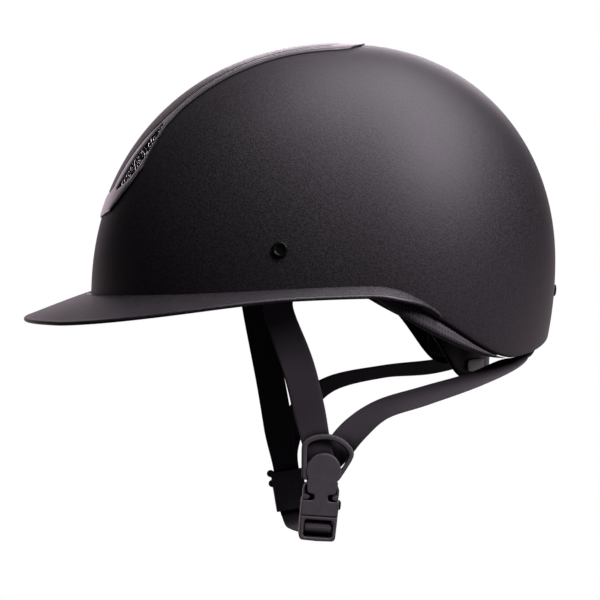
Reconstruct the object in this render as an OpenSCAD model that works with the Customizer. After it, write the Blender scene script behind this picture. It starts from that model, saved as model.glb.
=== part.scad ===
// Riding helmet with a wide peak, front vents, riveted harness and side release buckle.
// Millimetres. The front of the helmet faces -X, the wearer's left is -Y and up is +Z.
// The origin is the middle of the head, level with the root of the peak.

/* [Shell] */
// How far the shell reaches in front of its crown
front_reach = 151.8; // [135:0.2:170]
// How far the shell reaches behind its crown
rear_reach = 125.4; // [110:0.2:145]
// Half of the shell's width
half_width = 108; // [98:0.5:120]
// Height of the crown
crown_height = 147.8; // [135:0.2:165]
// How far the crown lies behind the origin
crown_back = 13.2; // [5:0.2:25]
// Level of the widest outline at the front
front_mid = -4.8; // [-8:0.2:2]
// Level of the widest outline at the rear
rear_mid = 18; // [10:0.5:26]
// Squareness of the outline seen from above
plan_power = 2.2; // [2:0.05:2.5]
// Squareness of the profile at the front
front_power = 2.15; // [2:0.05:2.5]
// Squareness of the profile at the rear
rear_power = 2.1; // [2:0.05:2.5]
// How fast the wall tucks in below its widest outline
tuck = 0.0022; // [0:0.0001:0.004]
// Thickness of the shell
shell_wall = 3; // [2:0.1:4]
// Height of the rim at the front
rim_front = -4; // [-8:0.5:0]
// Height of the rim above the ears
rim_ear = 3; // [-2:0.5:6]
// Height of the rim at the sides of the nape
rim_nape = -34; // [-42:0.5:-26]
// Height of the rim at the back
rim_back = -25; // [-32:0.5:-18]

/* [Peak] */
// Overhang of the peak at the front
peak_front = 39.5; // [28:0.5:50]
// Overhang of the peak at the sides
peak_side = 9.5; // [6:0.5:14]
// Height of the peak's root at the front
root_front = 0.6; // [-2:0.2:3]
// Height of the peak's root at the sides
root_side = 9.4; // [6:0.2:13]
// Drop from the root to the edge at the front
drop_front = 16.8; // [10:0.2:24]
// Drop from the root to the edge at the sides
drop_side = 6.6; // [4:0.2:9]
// Thickness of the peak at its edge
peak_edge = 2.4; // [1.6:0.1:3.5]
// Angle from the back at which the peak ends
peak_end = 67; // [62:1:76]

/* [Trim] */
// Height of the trim's rails above the shell
rail_height = 1.2; // [1:0.1:2.5]
// Height of the panel between the rails
panel_height = 0.8; // [0.5:0.1:1.2]
// Thickness of the vent mesh
mesh_thick = 0.5; // [0.4:0.1:0.8]
// Rows of holes along each vent mesh
mesh_rows = 14; // [8:1:18]
// Rows of holes across each vent mesh
mesh_files = 3; // [2:1:4]
// How far the mesh laps onto the shell round each vent
mesh_lap = 1.4; // [1:0.1:2]

/* [Rivets] */
// Angle of the side rivets from the back
rivet_angle = 114.2; // [108:0.2:120]
// Height of the side rivets
rivet_level = 29.3; // [22:0.1:36]
// Height of the rear rivet
rear_rivet_level = 0.6; // [-6:0.2:8]
// Diameter of a side rivet's head
rivet_head = 9; // [7:0.5:12]
// Diameter of the rear rivet's head
rear_rivet_head = 7.8; // [6:0.2:10]
// Diameter of the rivet shanks
rivet_shank = 4; // [3:0.1:5]
// Height of a rivet's head
rivet_crown = 1.4; // [1:0.1:2]
// Thickness of the washers inside the shell
washer_thick = 1; // [0.8:0.1:1.5]

/* [Liner] */
// Thickness of the foam at the front and back
foam_end = 23; // [18:0.5:28]
// Thickness of the foam at the sides
foam_side = 17; // [13:0.5:22]
// Thickness of the foam over the crown
foam_top = 24; // [18:0.5:30]
// How far the rim lining hangs below the rim
lining_drop = 9; // [5:0.5:12]
// Thickness of the rim lining
lining_thick = 9; // [6:0.5:14]
// Thickness of the headband
headband_thick = 7; // [4:0.5:9]
// Height of the headband
headband_height = 32; // [24:1:40]
// Thickness of the crown pad
crown_pad_thick = 6; // [4:0.5:9]
// How far the crown pad reaches down from the top of the foam
crown_pad_depth = 29.3; // [20:0.1:38]

/* [Nape cradle] */
// Room between the cradle and the foam at the nape
cradle_room = 8; // [4:0.5:14]
// Thickness of the cradle
cradle_thick = 2.6; // [2:0.1:4]
// Lower edge of the cradle at the nape
cradle_low = -48; // [-56:0.5:-42]
// Upper edge of the cradle at the nape
cradle_high = -14; // [-20:0.5:-8]
// Thickness of the nape pad
nape_pad_thick = 6; // [4:0.5:9]
// Length of the bare tab on the cradle
tab_length = 22; // [12:1:28]
// Height of the bare tab
tab_height = 8; // [5:0.5:12]

/* [Straps] */
// Width of the webbing
strap_w = 16; // [12:0.5:20]
// Thickness of the webbing
strap_t = 1.6; // [1.2:0.1:2.2]
// How far the rear straps run inside the shell's outline under the rim
under_rim = 9; // [7:0.5:11]
// How far the chin strap hangs below its ends
chin_sag = 3.5; // [2:0.5:8]

/* [Buckle] */
// Forward place of the buckle's round disc
buckle_x = -6.3; // [-14:0.1:2]
// Sideways place of the disc
buckle_y = -72; // [-80:0.5:-64]
// Height of the disc
buckle_z = -97; // [-108:0.5:-90]
// Lean of the buckle towards the chin
buckle_lean = 7.9; // [0:0.1:14]
// Tilt of the buckle towards the face
buckle_tilt = 4.7; // [0:0.1:10]
// Width of the buckle
buckle_w = 21.4; // [18:0.2:26]
// Thickness of the buckle
buckle_t = 9; // [8:0.2:11]
// Diameter of the disc
disc_d = 20; // [17:0.2:22]
// Thickness of the disc
disc_t = 3.3; // [2.5:0.1:3.8]
// Radius of the strap loop's arch
arch_r = 19.8; // [18:0.1:22]
// Width of the strap loop's bar
arch_bar = 3.2; // [2.4:0.1:4]
// Width of the waist
waist_w = 8.9; // [7.5:0.1:10]
// Height of the lower housing
throat_h = 8.6; // [7:0.1:11]
// Distance from the disc to the lower housing
throat_drop = 18.2; // [16:0.1:21]
// Wall of the lower housing
throat_wall = 0.9; // [0.7:0.05:1.2]
// Height of the clip
clip_h = 14.8; // [13:0.1:18]
// Diameter of the clip's bar
clip_bar = 4.2; // [3.4:0.1:5]

/* [Divider] */
// Forward place of the divider
divider_x = -15.9; // [-24:0.1:-8]
// Sideways place of the divider
divider_y = 57.2; // [50:0.1:65]
// Height of the divider
divider_z = -127.8; // [-136:0.2:-120]
// Tilt of the divider, its foot towards the back
divider_tilt = -9; // [-14:0.5:0]
// Length of the divider along the straps
divider_h = 25; // [20:0.5:30]
// Wall of the divider
divider_wall = 1.4; // [1:0.1:2.4]
// Diameter of the divider's grip lobes
lobe_d = 4.6; // [3.4:0.1:6]

/* [Hidden] */
$fn = 64;
// running clearance between pieces that only touch
gap = 0.3;
// clearance between curved soft pieces and the foam
soft_gap = 0.7;
// clearance of the foam in the shell
foam_gap = 0.5;
// clearance of flat webbing along the curved shell
web_gap = 1.2;
// clearance of a shank in its bore
bore_gap = 0.15;
// clearance on each side of webbing in a slot
slot_gap = 0.7;
turns = 64;
no_inset = [0, 0, 0];
wall_inset = shell_wall * [1, 1, 1];
foam_out = wall_inset + foam_gap * [1, 1, 1];
foam_in = foam_out + [foam_end, foam_side, foam_top];
band_out = foam_in + soft_gap * [1, 1, 0];
band_in = band_out + headband_thick * [1, 1, 0];
pad_out = foam_in + soft_gap * [1, 1, 1];
pad_in = pad_out + crown_pad_thick * [1, 1, 1];
crown_pad_level = crown_height - foam_in[2] - crown_pad_depth;
// webbing lies in two layers between shell and foam
layer_step = strap_t + 2 * gap;
layer_one = (shell_wall + web_gap + strap_t / 2) * [1, 1, 1];
layer_two = layer_one + layer_step * [1, 1, 1];
shank_side = shell_wall + 2 * web_gap + strap_t;
shank_rear = shell_wall + 2 * web_gap + strap_t + layer_step;
pocket = 3;
// webbing channels in the foam: how far each runs up, down and into it
front_channel = [12, 60, 10.5];
rear_channel = [24, 34, 16.5];
// angles of the two stretches of a rear channel, their height above the rim and their slant
rear_channel_places = [[4, 21], [26, 1.5]];
rear_slant = 56;
charcoal = [0.21, 0.19, 0.21];
black = [0.06, 0.06, 0.07];
gloss = [0.45, 0.43, 0.46];

// Helpers for smooth steps, tables and directions

function smooth(v, low, high) =
    let (t = min(1, max(0, (v - low) / (high - low)))) t * t * (3 - 2 * t);

function fold(a) = abs(((a + 540) % 360) - 180);

function unit(v) = v / norm(v);

function middle(loop) =
    [for (k = [0:2]) ([for (p = loop) p[k]] * [for (p = loop) 1]) / len(loop)];

// a smooth curve through a few points, each span in a number of steps
function span(p, q, r, s, t) =
    0.5 * (2 * q + (r - p) * t + (2 * p - 5 * q + 4 * r - s) * t * t
        + (3 * q - p - 3 * r + s) * t * t * t);

function curve(points, steps) =
    let (n = len(points) - 1)
    [for (i = [0:n - 1], k = [0:steps - 1])
        span(points[max(0, i - 1)], points[i], points[i + 1], points[min(n, i + 2)], k / steps),
     points[n]];

// Solids from rows of points

module loft(loops, closed = false) {
    n = len(loops[0]);
    m = len(loops);
    points = [
        for (l = loops) each l,
        if (!closed) middle(loops[0]),
        if (!closed) middle(loops[m - 1])
    ];
    sides = [for (i = [0:closed ? m - 1 : m - 2], j = [0:n - 1])
        let (k = (j + 1) % n, a = i * n, b = ((i + 1) % m) * n)
        each [[a + j, a + k, b + k], [a + j, b + k, b + j]]];
    ends = closed ? [] : [for (j = [0:n - 1])
        let (k = (j + 1) % n, b = (m - 1) * n)
        each [[m * n, k, j], [m * n + 1, b + j, b + k]]];
    polyhedron(points, concat(sides, ends), convexity = 8);
}

// a curved plate of cells, with some cells left open
module plate(top, under, keep) {
    rows = len(top) - 1;
    cols = len(top[0]) - 1;
    n = (rows + 1) * (cols + 1);
    points = concat([for (r = top) each r], [for (r = under) each r]);
    function at(i, j, side) = side * n + i * (cols + 1) + j;
    function on(i, j) =
        i < 0 || j < 0 || i >= rows || j >= cols ? false : keep[i][j];
    function wall(i, j, k, l) = [
        [at(i, j, 0), at(k, l, 1), at(k, l, 0)],
        [at(i, j, 0), at(i, j, 1), at(k, l, 1)]
    ];
    faces = [for (i = [0:rows - 1], j = [0:cols - 1]) if (on(i, j)) each concat(
        [[at(i, j, 0), at(i, j + 1, 0), at(i + 1, j + 1, 0)],
         [at(i, j, 0), at(i + 1, j + 1, 0), at(i + 1, j, 0)],
         [at(i, j, 1), at(i + 1, j + 1, 1), at(i, j + 1, 1)],
         [at(i, j, 1), at(i + 1, j, 1), at(i + 1, j + 1, 1)]],
        on(i - 1, j) ? [] : wall(i, j, i, j + 1),
        on(i + 1, j) ? [] : wall(i + 1, j + 1, i + 1, j),
        on(i, j - 1) ? [] : wall(i + 1, j, i, j),
        on(i, j + 1) ? [] : wall(i, j + 1, i + 1, j + 1))];
    polyhedron(points, faces, convexity = 8);
}

// flat webbing along a route: each stop is a place and the direction across the webbing
module webbing(stops, steps = 5, w = strap_w, t = strap_t) {
    route = curve([for (s = stops) s[0]], steps);
    lay = curve([for (s = stops) s[1]], steps);
    last = len(route) - 1;
    loft([for (i = [0:last])
        let (
            along = unit(route[min(last, i + 1)] - route[max(0, i - 1)]),
            across = unit(lay[i] - along * (along * lay[i])),
            up = cross(along, across)
        )
        [for (c = [[-1, -1], [-1, 1], [1, 1], [1, -1]])
            route[i] + across * c[0] * w / 2 + up * c[1] * t / 2]]);
}

// The shell's surface

function mid_level(a) = (rear_mid + front_mid) / 2 + (rear_mid - front_mid) / 2 * cos(a);

function dome_power(a) = (front_power + rear_power) / 2 - (front_power - rear_power) / 2 * cos(a);

function plan_reach(a, inset) =
    let (
        l = (cos(a) > 0 ? rear_reach : front_reach) - inset[0],
        w = half_width - inset[1]
    )
    pow(pow(abs(cos(a)) / l, plan_power) + pow(abs(sin(a)) / w, plan_power), -1 / plan_power);

function dome_r(a, z, inset = no_inset) =
    let (
        z0 = mid_level(a),
        n = dome_power(a),
        b = crown_height - inset[2] - z0,
        r = plan_reach(a, inset)
    )
    z >= z0 ? r * pow(max(0, 1 - pow((z - z0) / b, n)), 1 / n) : r - tuck * pow(z0 - z, 2);

function out_at(a, r, z) = [crown_back + r * cos(a), r * sin(a), z];

function dome_at(a, z, inset = no_inset) = out_at(a, dome_r(a, z, inset), z);

function dome_normal(a, z) =
    unit(cross(dome_at(a + 1, z) - dome_at(a - 1, z), dome_at(a, z + 1) - dome_at(a, z - 1)));

function dome_tangent(a, z) = unit(dome_at(a + 1, z) - dome_at(a - 1, z));

// how far out a point lies: below 1 inside the dome, above 1 outside it
function dome_share(p) =
    let (
        a = atan2(p[1], p[0] - crown_back),
        n = dome_power(a),
        z0 = mid_level(a),
        r = norm([p[0] - crown_back, p[1]]) / plan_reach(a, no_inset),
        h = max(0, p[2] - z0) / (crown_height - z0)
    )
    pow(pow(r, n) + pow(h, n), 1 / n);

// height of the rim all round, with an arch above each ear
function rim_at(angle) =
    let (a = fold(angle))
    rim_ear + (rim_front - rim_ear) * smooth(a, 100, 180)
        + (rim_nape - rim_ear) * (1 - smooth(a, 38, 86))
        + (rim_back - rim_nape) * (1 - smooth(a, 0, 40));

// one ring round the dome, part of the way from a lower edge to the crown
function dome_ring(inset, low, share, count) =
    [for (i = [0:count - 1])
        let (
            a = 360 * i / count,
            edge = low < -100 ? rim_at(a) : low,
            top = crown_height - inset[2],
            z = edge + (top - edge) * pow(sin(90 * share), 2 / dome_power(a))
        )
        dome_at(a, z, inset)];

rim_edge = -999;

module bowl(outer, inner, low, outer_rings, inner_rings, count = turns) {
    loft(concat(
        [for (j = [outer_rings - 0.4, for (k = [outer_rings - 1:-1:0]) k])
            dome_ring(outer, low, j / outer_rings, count)],
        [for (j = [for (k = [0:inner_rings - 1]) k, inner_rings - 0.4])
            dome_ring(inner, low, j / inner_rings, count)]));
}

// turns a child to stand out of the dome at an angle and height
module on_dome(a, z) {
    n = dome_normal(a, z);
    translate(dome_at(a, z))
        rotate([0, acos(n[2]), atan2(n[1], n[0])])
            children();
}

// Outlines of the front trim, by angle up the profile: half widths from the middle

rail_outer = [[17, 4], [18, 18], [19.4, 30], [22.8, 37.4], [27.2, 43.4], [31.5, 45.6], [37.3, 41.9],
    [42, 38.6], [47, 36.9], [60, 35], [75, 32.6], [86.5, 32], [90.2, 29], [93, 20], [94.4, 6]];
panel_edge = [[17, 1], [22.4, 6], [23.2, 15], [24.4, 19.7], [30, 22.2], [37, 26], [42, 29], [47, 29.8],
    [60, 27], [75, 24.5], [85.5, 22.5], [88, 18], [89.4, 8], [94.4, 1.5]];
vent_inner = [[17, 2], [22, 22], [24.4, 28.6], [28, 31], [32.5, 31.7], [37, 33.4], [42.6, 33.2],
    [47, 33], [60, 30.5], [75, 28], [86.5, 27], [90.2, 23], [93, 14], [94.4, 3]];
vent_width = [[17, 0.6], [24.4, 0.6], [26.9, 6], [30.4, 9.6], [33.8, 9], [36.7, 7], [39.8, 4.2],
    [42.6, 0.6], [94.4, 0.4]];
vent_low = 24.4;
vent_high = 42.6;
panel_low = 22.4;
panel_high = 89.4;

function trim_rho(angle, y, rho, rounds) =
    rounds == 0 ? rho :
    let (p = [crown_back - rho * cos(angle), y, rho * sin(angle)])
    trim_rho(angle, y, rho / dome_share(p), rounds - 1);

// a place on the front of the shell: angle up the profile, sideways, height above the shell
function trim_at(angle, y, height) =
    let (rho = trim_rho(angle, y, crown_height, 6), out = [-cos(angle), 0, sin(angle)])
    [crown_back, y, 0] + out * rho + unit([-cos(angle) * rho, 2 * y, sin(angle) * rho]) * height;

function ramp(count, low, high) = [for (i = [0:count]) low + (high - low) * i / count];

// Outer shell with vents and rivet bores

module vent_cut() {
    angles = ramp(6, vent_low + 2.4, vent_high - 3);
    deep = shell_wall + 4;
    edges = [for (a = angles) [lookup(a, vent_inner) + mesh_lap,
        lookup(a, vent_inner) + lookup(a, vent_width) - mesh_lap * 0.8]];
    loft([for (i = [0:len(angles) - 1])
        let (a = angles[i], y1 = edges[i][0], y2 = max(edges[i][1], y1 + 0.8))
        [trim_at(a, y1, 3), trim_at(a, y2, 3), trim_at(a, y2, -deep), trim_at(a, y1, -deep)]]);
}

module outer_shell() {
    color(charcoal)
        difference() {
            bowl(no_inset, wall_inset, rim_edge, 16, 10);
            vent_cut();
            mirror([0, 1, 0]) vent_cut();
            for (side = [-1, 1])
                on_dome(side * rivet_angle, rivet_level) shank_bore();
            on_dome(0, rear_rivet_level) shank_bore();
        }
}

module shank_bore() {
    translate([0, 0, -shell_wall * 3])
        cylinder(d = rivet_shank + 2 * bore_gap, h = shell_wall * 5);
}

// Peak that wraps from the front to behind the ears

// the root runs level at the side, and falls behind the ear
ear_turn = 88;
ear_fall = 0.036;

function peak_root(a) =
    a >= ear_turn ? root_front + (root_side - root_front) * (1 - smooth(a, ear_turn - 4, 180))
        : root_side - ear_fall * pow(ear_turn - a, 2);

function peak_share(a) = smooth(a, peak_end - 3, peak_end + 17);

// overhang where the peak runs out behind the ear
peak_tail = 0.9;

function peak_over(a) =
    peak_tail + peak_share(a)
        * (peak_side - peak_tail + (peak_front - peak_side) * smooth(a, 95, 180));

function peak_drop(a) = drop_side + (drop_front - drop_side) * smooth(a, 108, 165);

module peak() {
    steps = 52;
    color(charcoal)
        loft([for (angle = ramp(steps, 360 - peak_end, peak_end))
            let (
                a = fold(angle),
                low = rim_at(a),
                top = max(peak_root(a), low + peak_edge),
                edge = max(top - peak_drop(a), low - 12),
                foot = min(edge, top - peak_edge - 0.2),
                in = dome_r(a, top) + gap,
                out = dome_r(a, (top + low) / 2) + gap + peak_over(a),
                reach = out - in,
                fall = foot + peak_edge - top
            )
            [for (q = [
                [in, top],
                [in + reach * 0.34, top + fall * 0.32],
                [in + reach * 0.7, top + fall * 0.67],
                [out - 1.1, top + fall],
                [out - 0.2, foot + peak_edge * 0.6],
                [out - 0.3, foot + peak_edge * 0.2],
                [out - 0.9, foot],
                [in + reach * 0.5, foot * 0.56 + low * 0.44],
                [dome_r(a, low) + gap, low]]) out_at(angle, q[0], q[1])]]);
}

// Front trim: frame with rails, panel and vent mesh

function rail_line(a) =
    let (
        p = lookup(a, panel_edge),
        v = max(lookup(a, vent_inner), p + 0.5),
        u = v + lookup(a, vent_width),
        w = max(lookup(a, rail_outer), u + 0.5)
    )
    [p, p + (v - p) * 0.4, v, u, u + (w - u) * 0.6, w];

rail_rise = [0.62, 1, 0.8, 0.8, 1, 0.4];

module trim_frame() {
    angles = [17, 18, 19.4, 21, 22.4, 23.2, vent_low, each ramp(9, 26, 41), vent_high,
        each ramp(13, 45, 84.6), 86.5, 88, panel_high, 91, 93, 94.4];
    line = [for (a = angles) let (r = rail_line(a))
        concat([for (k = [5:-1:0]) -r[k]], r)];
    rise = concat([for (k = [5:-1:0]) rail_rise[k]], rail_rise);
    function frame_cell(i, j) =
        let (a = (angles[i] + angles[i + 1]) / 2)
        j == 5 ? a < panel_low || a > panel_high
        : j == 2 || j == 8 ? a < vent_low || a > vent_high
        : true;
    color(gloss)
        plate(
            [for (i = [0:len(angles) - 1]) [for (j = [0:11])
                trim_at(angles[i], line[i][j], rail_height * rise[j])]],
            [for (i = [0:len(angles) - 1]) [for (j = [0:11])
                trim_at(angles[i], line[i][j], gap)]],
            [for (i = [0:len(angles) - 2]) [for (j = [0:10]) frame_cell(i, j)]]);
}

module crown_panel() {
    angles = [22.9, 23.4, vent_low, each ramp(20, 27, 84.4), 86.2, 87.6, 88.8];
    shares = [-1, -0.75, -0.4, 0, 0.4, 0.75, 1];
    function panel_at(a, s, height) =
        trim_at(a, s * max(1, lookup(a, panel_edge) - 2 * gap), height);
    color(charcoal)
        plate(
            [for (a = angles) [for (s = shares) panel_at(a, s, panel_height)]],
            [for (a = angles) [for (s = shares) panel_at(a, s, gap)]],
            [for (i = [0:len(angles) - 2]) [for (j = [0:5]) true]]);
}

module vent_screen() {
    rows = 2 * mesh_rows + 1;
    cols = 2 * mesh_files + 1;
    angles = ramp(rows, vent_low + 1, vent_high - 1);
    function screen_at(a, j, height) =
        let (
            v = lookup(a, vent_inner) + 1.7 * gap,
            w = max(0.5, lookup(a, vent_width) - 3.4 * gap)
        )
        trim_at(a, v + w * j / cols, height);
    plate(
        [for (a = angles) [for (j = [0:cols]) screen_at(a, j, gap + mesh_thick)]],
        [for (a = angles) [for (j = [0:cols]) screen_at(a, j, gap)]],
        [for (i = [0:rows - 1]) [for (j = [0:cols - 1])
            i % 2 == 0 || j % 2 == 0 || i < 4 || i > rows - 5]]);
}

module vent_mesh() {
    color(black) {
        vent_screen();
        mirror([0, 1, 0]) vent_screen();
    }
}

// Rivets with their washers inside

module rivet(head, shank) {
    difference() {
        union() {
            cylinder(d1 = head, d2 = head - rivet_crown, h = rivet_crown);
            translate([0, 0, -shank - washer_thick])
                cylinder(d = rivet_shank, h = shank + washer_thick + rivet_crown / 2);
            translate([0, 0, -shank - washer_thick])
                cylinder(d = head, h = washer_thick);
        }
        translate([0, 0, rivet_crown * 0.45])
            cylinder(d1 = head * 0.5, d2 = head * 0.62, h = rivet_crown);
    }
}

module side_rivets() {
    color(black)
        for (side = [-1, 1])
            on_dome(side * rivet_angle, rivet_level)
                translate([0, 0, gap])
                    rivet(rivet_head, shank_side + gap);
}

module rear_rivet() {
    color(black)
        on_dome(0, rear_rivet_level)
            translate([0, 0, gap])
                rivet(rear_rivet_head, shank_rear + gap);
}

// Foam liner with channels for the webbing and pockets for the rivets

module rivet_pocket(depth) {
    translate([0, 0, -depth - pocket])
        cylinder(d = rivet_head + 4, h = depth + pocket);
}

module eps_liner() {
    color([0.1, 0.1, 0.11])
        difference() {
            bowl(foam_out, foam_in, rim_edge, 10, 10);
            for (side = [-1, 1]) {
                on_dome(side * rivet_angle, rivet_level) {
                    webbing_channel(front_channel, strap_w + 10);
                    rivet_pocket(shank_side + washer_thick);
                }
                for (place = rear_channel_places)
                    on_dome(side * place[0], rim_at(place[0]) + place[1])
                        rotate(side * rear_slant)
                            webbing_channel(rear_channel, strap_w + 12);
            }
            on_dome(0, rear_rivet_level) rivet_pocket(shank_rear + washer_thick);
        }
}

// a straight channel down the foam: how far it runs up, down and into the foam
module webbing_channel(size, w) {
    translate([-size[0], -w / 2, -size[2]])
        cube([size[0] + size[1], w, size[2] + shell_wall]);
}

// Soft pieces inside

// angles from the back between which the rim lining shows
lining_back = 42;
lining_front = 86;

module rim_lining_side() {
    loft([for (a = ramp(14, lining_front, lining_back))
        let (
            low = rim_at(a) - soft_gap,
            share = (a - lining_back) / (lining_front - lining_back),
            hang = 1 + lining_drop * pow(max(0, sin(180 * share)), 0.8),
            out = dome_r(a, low) - 1.2
        )
        [for (q = [
            [out, low],
            [out - 0.4, low - hang * 0.75],
            [out - 2.2, low - hang],
            [out - lining_thick + 2, low - hang * 0.9],
            [out - lining_thick, low - hang * 0.45],
            [out - lining_thick, low]]) out_at(a, q[0], q[1])]]);
}

module rim_lining() {
    color([0.16, 0.15, 0.17]) {
        rim_lining_side();
        mirror([0, 1, 0]) rim_lining_side();
    }
}

// lower edge of the headband, its lift over the brow and its number of stretches
band_low = 6;
brow_lift = 4;
band_turns = 48;

module headband() {
    mid = band_low + headband_height / 2;
    color([0.13, 0.12, 0.14])
        loft([for (i = [0:band_turns - 1])
            let (
                a = 360 * i / band_turns,
                lift = brow_lift * smooth(fold(a), 120, 180),
                w = headband_height / 2 - 2
            )
            [for (q = [[0, -w, 0], [0, 0, 0], [0, w, 0], [0.5, w + 2, 0], [1, w - 2, 0.25],
                    [1, 0, 1], [1, 2 - w, 0.25], [0.5, -w - 2, 0]])
                let (
                    z = mid + q[1] + lift,
                    r1 = dome_r(a, z, band_out),
                    r2 = dome_r(a, z, band_in)
                )
                out_at(a, r1 + (r2 - r1) * q[0] * (0.75 + 0.25 * q[2]), z)]], true);
}

module crown_pad() {
    color([0.13, 0.12, 0.14])
        bowl(pad_out, pad_in, crown_pad_level, 5, 5, band_turns);
}

// Nape cradle with its pad and a bare tab

function cradle_r(a) =
    dome_r(a, rim_at(a), foam_in) - cradle_room + (cradle_room - 2 * soft_gap) * smooth(a, 40, 68);

// the cradle's arms rise towards the ears and end at this angle
arm_end = 74;
arm_rise = 42;
arm_top_rise = 16;

function cradle_bottom(a) = cradle_low + arm_rise * smooth(a, 36, arm_end + 2);

function cradle_top(a) = cradle_high + arm_top_rise * smooth(a, 40, arm_end);

module nape_cradle() {
    color(black)
        loft([for (angle = ramp(32, arm_end, -arm_end))
            let (a = fold(angle), r = cradle_r(a), low = cradle_bottom(a), high = cradle_top(a))
            [for (q = [
                [r, high], [r + 0.6, (low + high) / 2], [r, low],
                [r - cradle_thick, low], [r - cradle_thick + 0.6, (low + high) / 2],
                [r - cradle_thick, high]]) out_at(angle, q[0], q[1])]]);
}

pad_end = 44;

module nape_pad() {
    color([0.11, 0.1, 0.12])
        loft([for (angle = ramp(24, pad_end, -pad_end))
            let (
                a = fold(angle),
                r = cradle_r(a) - cradle_thick - gap,
                low = cradle_bottom(a) + 4,
                high = cradle_top(a) - 3,
                full = nape_pad_thick * (0.35 + 0.65 * pow(max(0, cos(a * 90 / (pad_end + 2))), 0.5))
            )
            [for (q = [
                [r, high], [r + 0.5, (low + high) / 2], [r, low],
                [r - full * 0.7, low - 1], [r - full, low * 0.72 + high * 0.28],
                [r - full, low * 0.28 + high * 0.72], [r - full * 0.7, high + 1]])
                out_at(angle, q[0], q[1])]]);
}

tab_start = -12;

module nape_tab() {
    from = tab_start - tab_length * 180 / PI / cradle_r(0);
    mid = (cradle_low + cradle_high) / 2 - 4;
    color([0.78, 0.77, 0.78])
        loft([for (angle = ramp(8, tab_start, from))
            let (r = cradle_r(fold(angle)) + 0.6 + gap / 2)
            [for (q = [[r + 0.6, tab_height / 2], [r + 0.6, -tab_height / 2],
                    [r, -tab_height / 2], [r, tab_height / 2]])
                out_at(angle, q[0], mid + q[1])]]);
}

// Routes of the straps

function swing(p, lean, tilt) =
    let (q = [p[0], p[1] * cos(lean) - p[2] * sin(lean), p[1] * sin(lean) + p[2] * cos(lean)])
    [q[0] * cos(tilt) + q[2] * sin(tilt), q[1], q[2] * cos(tilt) - q[0] * sin(tilt)];

function from_buckle(p) = [buckle_x, buckle_y, buckle_z] + swing(p, buckle_lean, buckle_tilt);

function from_divider(p) = [divider_x, divider_y, divider_z] + swing(p, -buckle_lean, divider_tilt);

// layers of webbing behind the disc and in the divider
disc_layer = -buckle_t / 2 + disc_t + gap + strap_t / 2;

// each front strap slants forward from its rivet
function front_slant(side) = side < 0 ? [0, -0.3, -0.8, -1.8] : [0, -0.3, -1.6, -4.8];

function front_inside(side) =
    let (
        a = side * rivet_angle,
        level = [rivet_level + 7, rivet_level - 8, rim_ear + 6]
    )
    [for (i = [0:2])
        [dome_at(a, level[i], layer_one) + [front_slant(side)[i], 0, 0], dome_tangent(a, level[i])]];

// where a front strap leaves the shell
function front_under(side) = [
    dome_at(side * rivet_angle, rim_ear - 8, layer_one) + [front_slant(side)[3], side * -3, 0],
    side < 0 ? [0.88, -0.46, 0.1] : [-0.97, -0.2, 0.1]];

function rear_inside(side) =
    let (
        lay = side < 0 ? layer_one : layer_two,
        place = [for (s = [[21, 1], [12.5, 10], [5, 22], [-2, 34]]) [side * s[0], rim_at(21) + s[1]]],
        route = [for (i = [0:3])
            dome_at(place[i][0], place[i][1], lay + (1 - i / 3) * web_gap * [1, 1, 1])]
    )
    [for (i = [0:3])
        let (along = route[min(3, i + 1)] - route[max(0, i - 1)])
        [route[i], unit(cross(along, dome_normal(place[i][0], place[i][1])))]];

// where a rear strap passes under the rim, the right one lower than the left one
rear_exit = 31.9;

function rear_under(side) =
    let (drop = side < 0 ? 6.4 : 9.6)
    [dome_at(side * rear_exit, rim_at(rear_exit) - drop, under_rim * [1, 1, 1]),
        [-side * 0.2, 0.92, -side * 0.15]];

// a place part of the way between two others, bowed out sideways and up
function between(p, q, share, out, up) = p + (q - p) * share + [0, out, up];

module post_hole() {
    in_buckle()
        rotate([90, 0, 0])
            cylinder(d = post_d + 2 * bore_gap, h = 40, center = true);
}

module rivet_hole(a, z) {
    on_dome(a, z)
        translate([0, 0, -20])
            cylinder(d = rivet_shank + 2 * bore_gap, h = 22);
}

post_d = 3.6;
edge_on = swing([1, 0, 0], 0, buckle_tilt);
divider_edge = swing([1, 0, 0], 0, divider_tilt);

module left_front_strap() {
    turned = swing([0.96, 0, 0.28], buckle_lean, buckle_tilt);
    color(charcoal)
        difference() {
            webbing(concat(front_inside(-1), [
                front_under(-1),
                [from_buckle([-19.4, disc_layer - 7.5, 58]), [0.97, 0, 0.22]],
                [from_buckle([-9.2, disc_layer - 0.5, 27]), turned],
                [from_buckle([-5.2, disc_layer, 15]), turned],
                [from_buckle([-1.6, disc_layer, 4]), turned],
                [from_buckle([0.2, disc_layer, -4.5]), turned]]));
            post_hole();
            rivet_hole(-rivet_angle, rivet_level);
        }
}

module left_rear_strap() {
    layer = disc_layer + layer_step;
    turned = swing([-0.76, 0, 0.65], buckle_lean, buckle_tilt);
    leave = from_buckle([16, layer, 23.5]);
    arrive = rear_under(-1)[0];
    color(charcoal)
        difference() {
            webbing(concat([
                [from_buckle([-3.4, layer, -3.2]), turned],
                [from_buckle([5.5, layer, 8]), turned],
                [leave, [-0.66, 0.42, 0.62]],
                [between(leave, arrive, 0.16, -4.2, 5.6), [-0.36, 0.76, 0.54]],
                [between(leave, arrive, 0.4, -12.2, 4.1), [-0.2, 0.81, 0.55]],
                [between(leave, arrive, 0.72, -15.4, 1.2), [-0.2, 0.9, 0.36]],
                rear_under(-1)],
                rear_inside(-1)));
            post_hole();
            rivet_hole(0, rear_rivet_level);
        }
}

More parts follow.
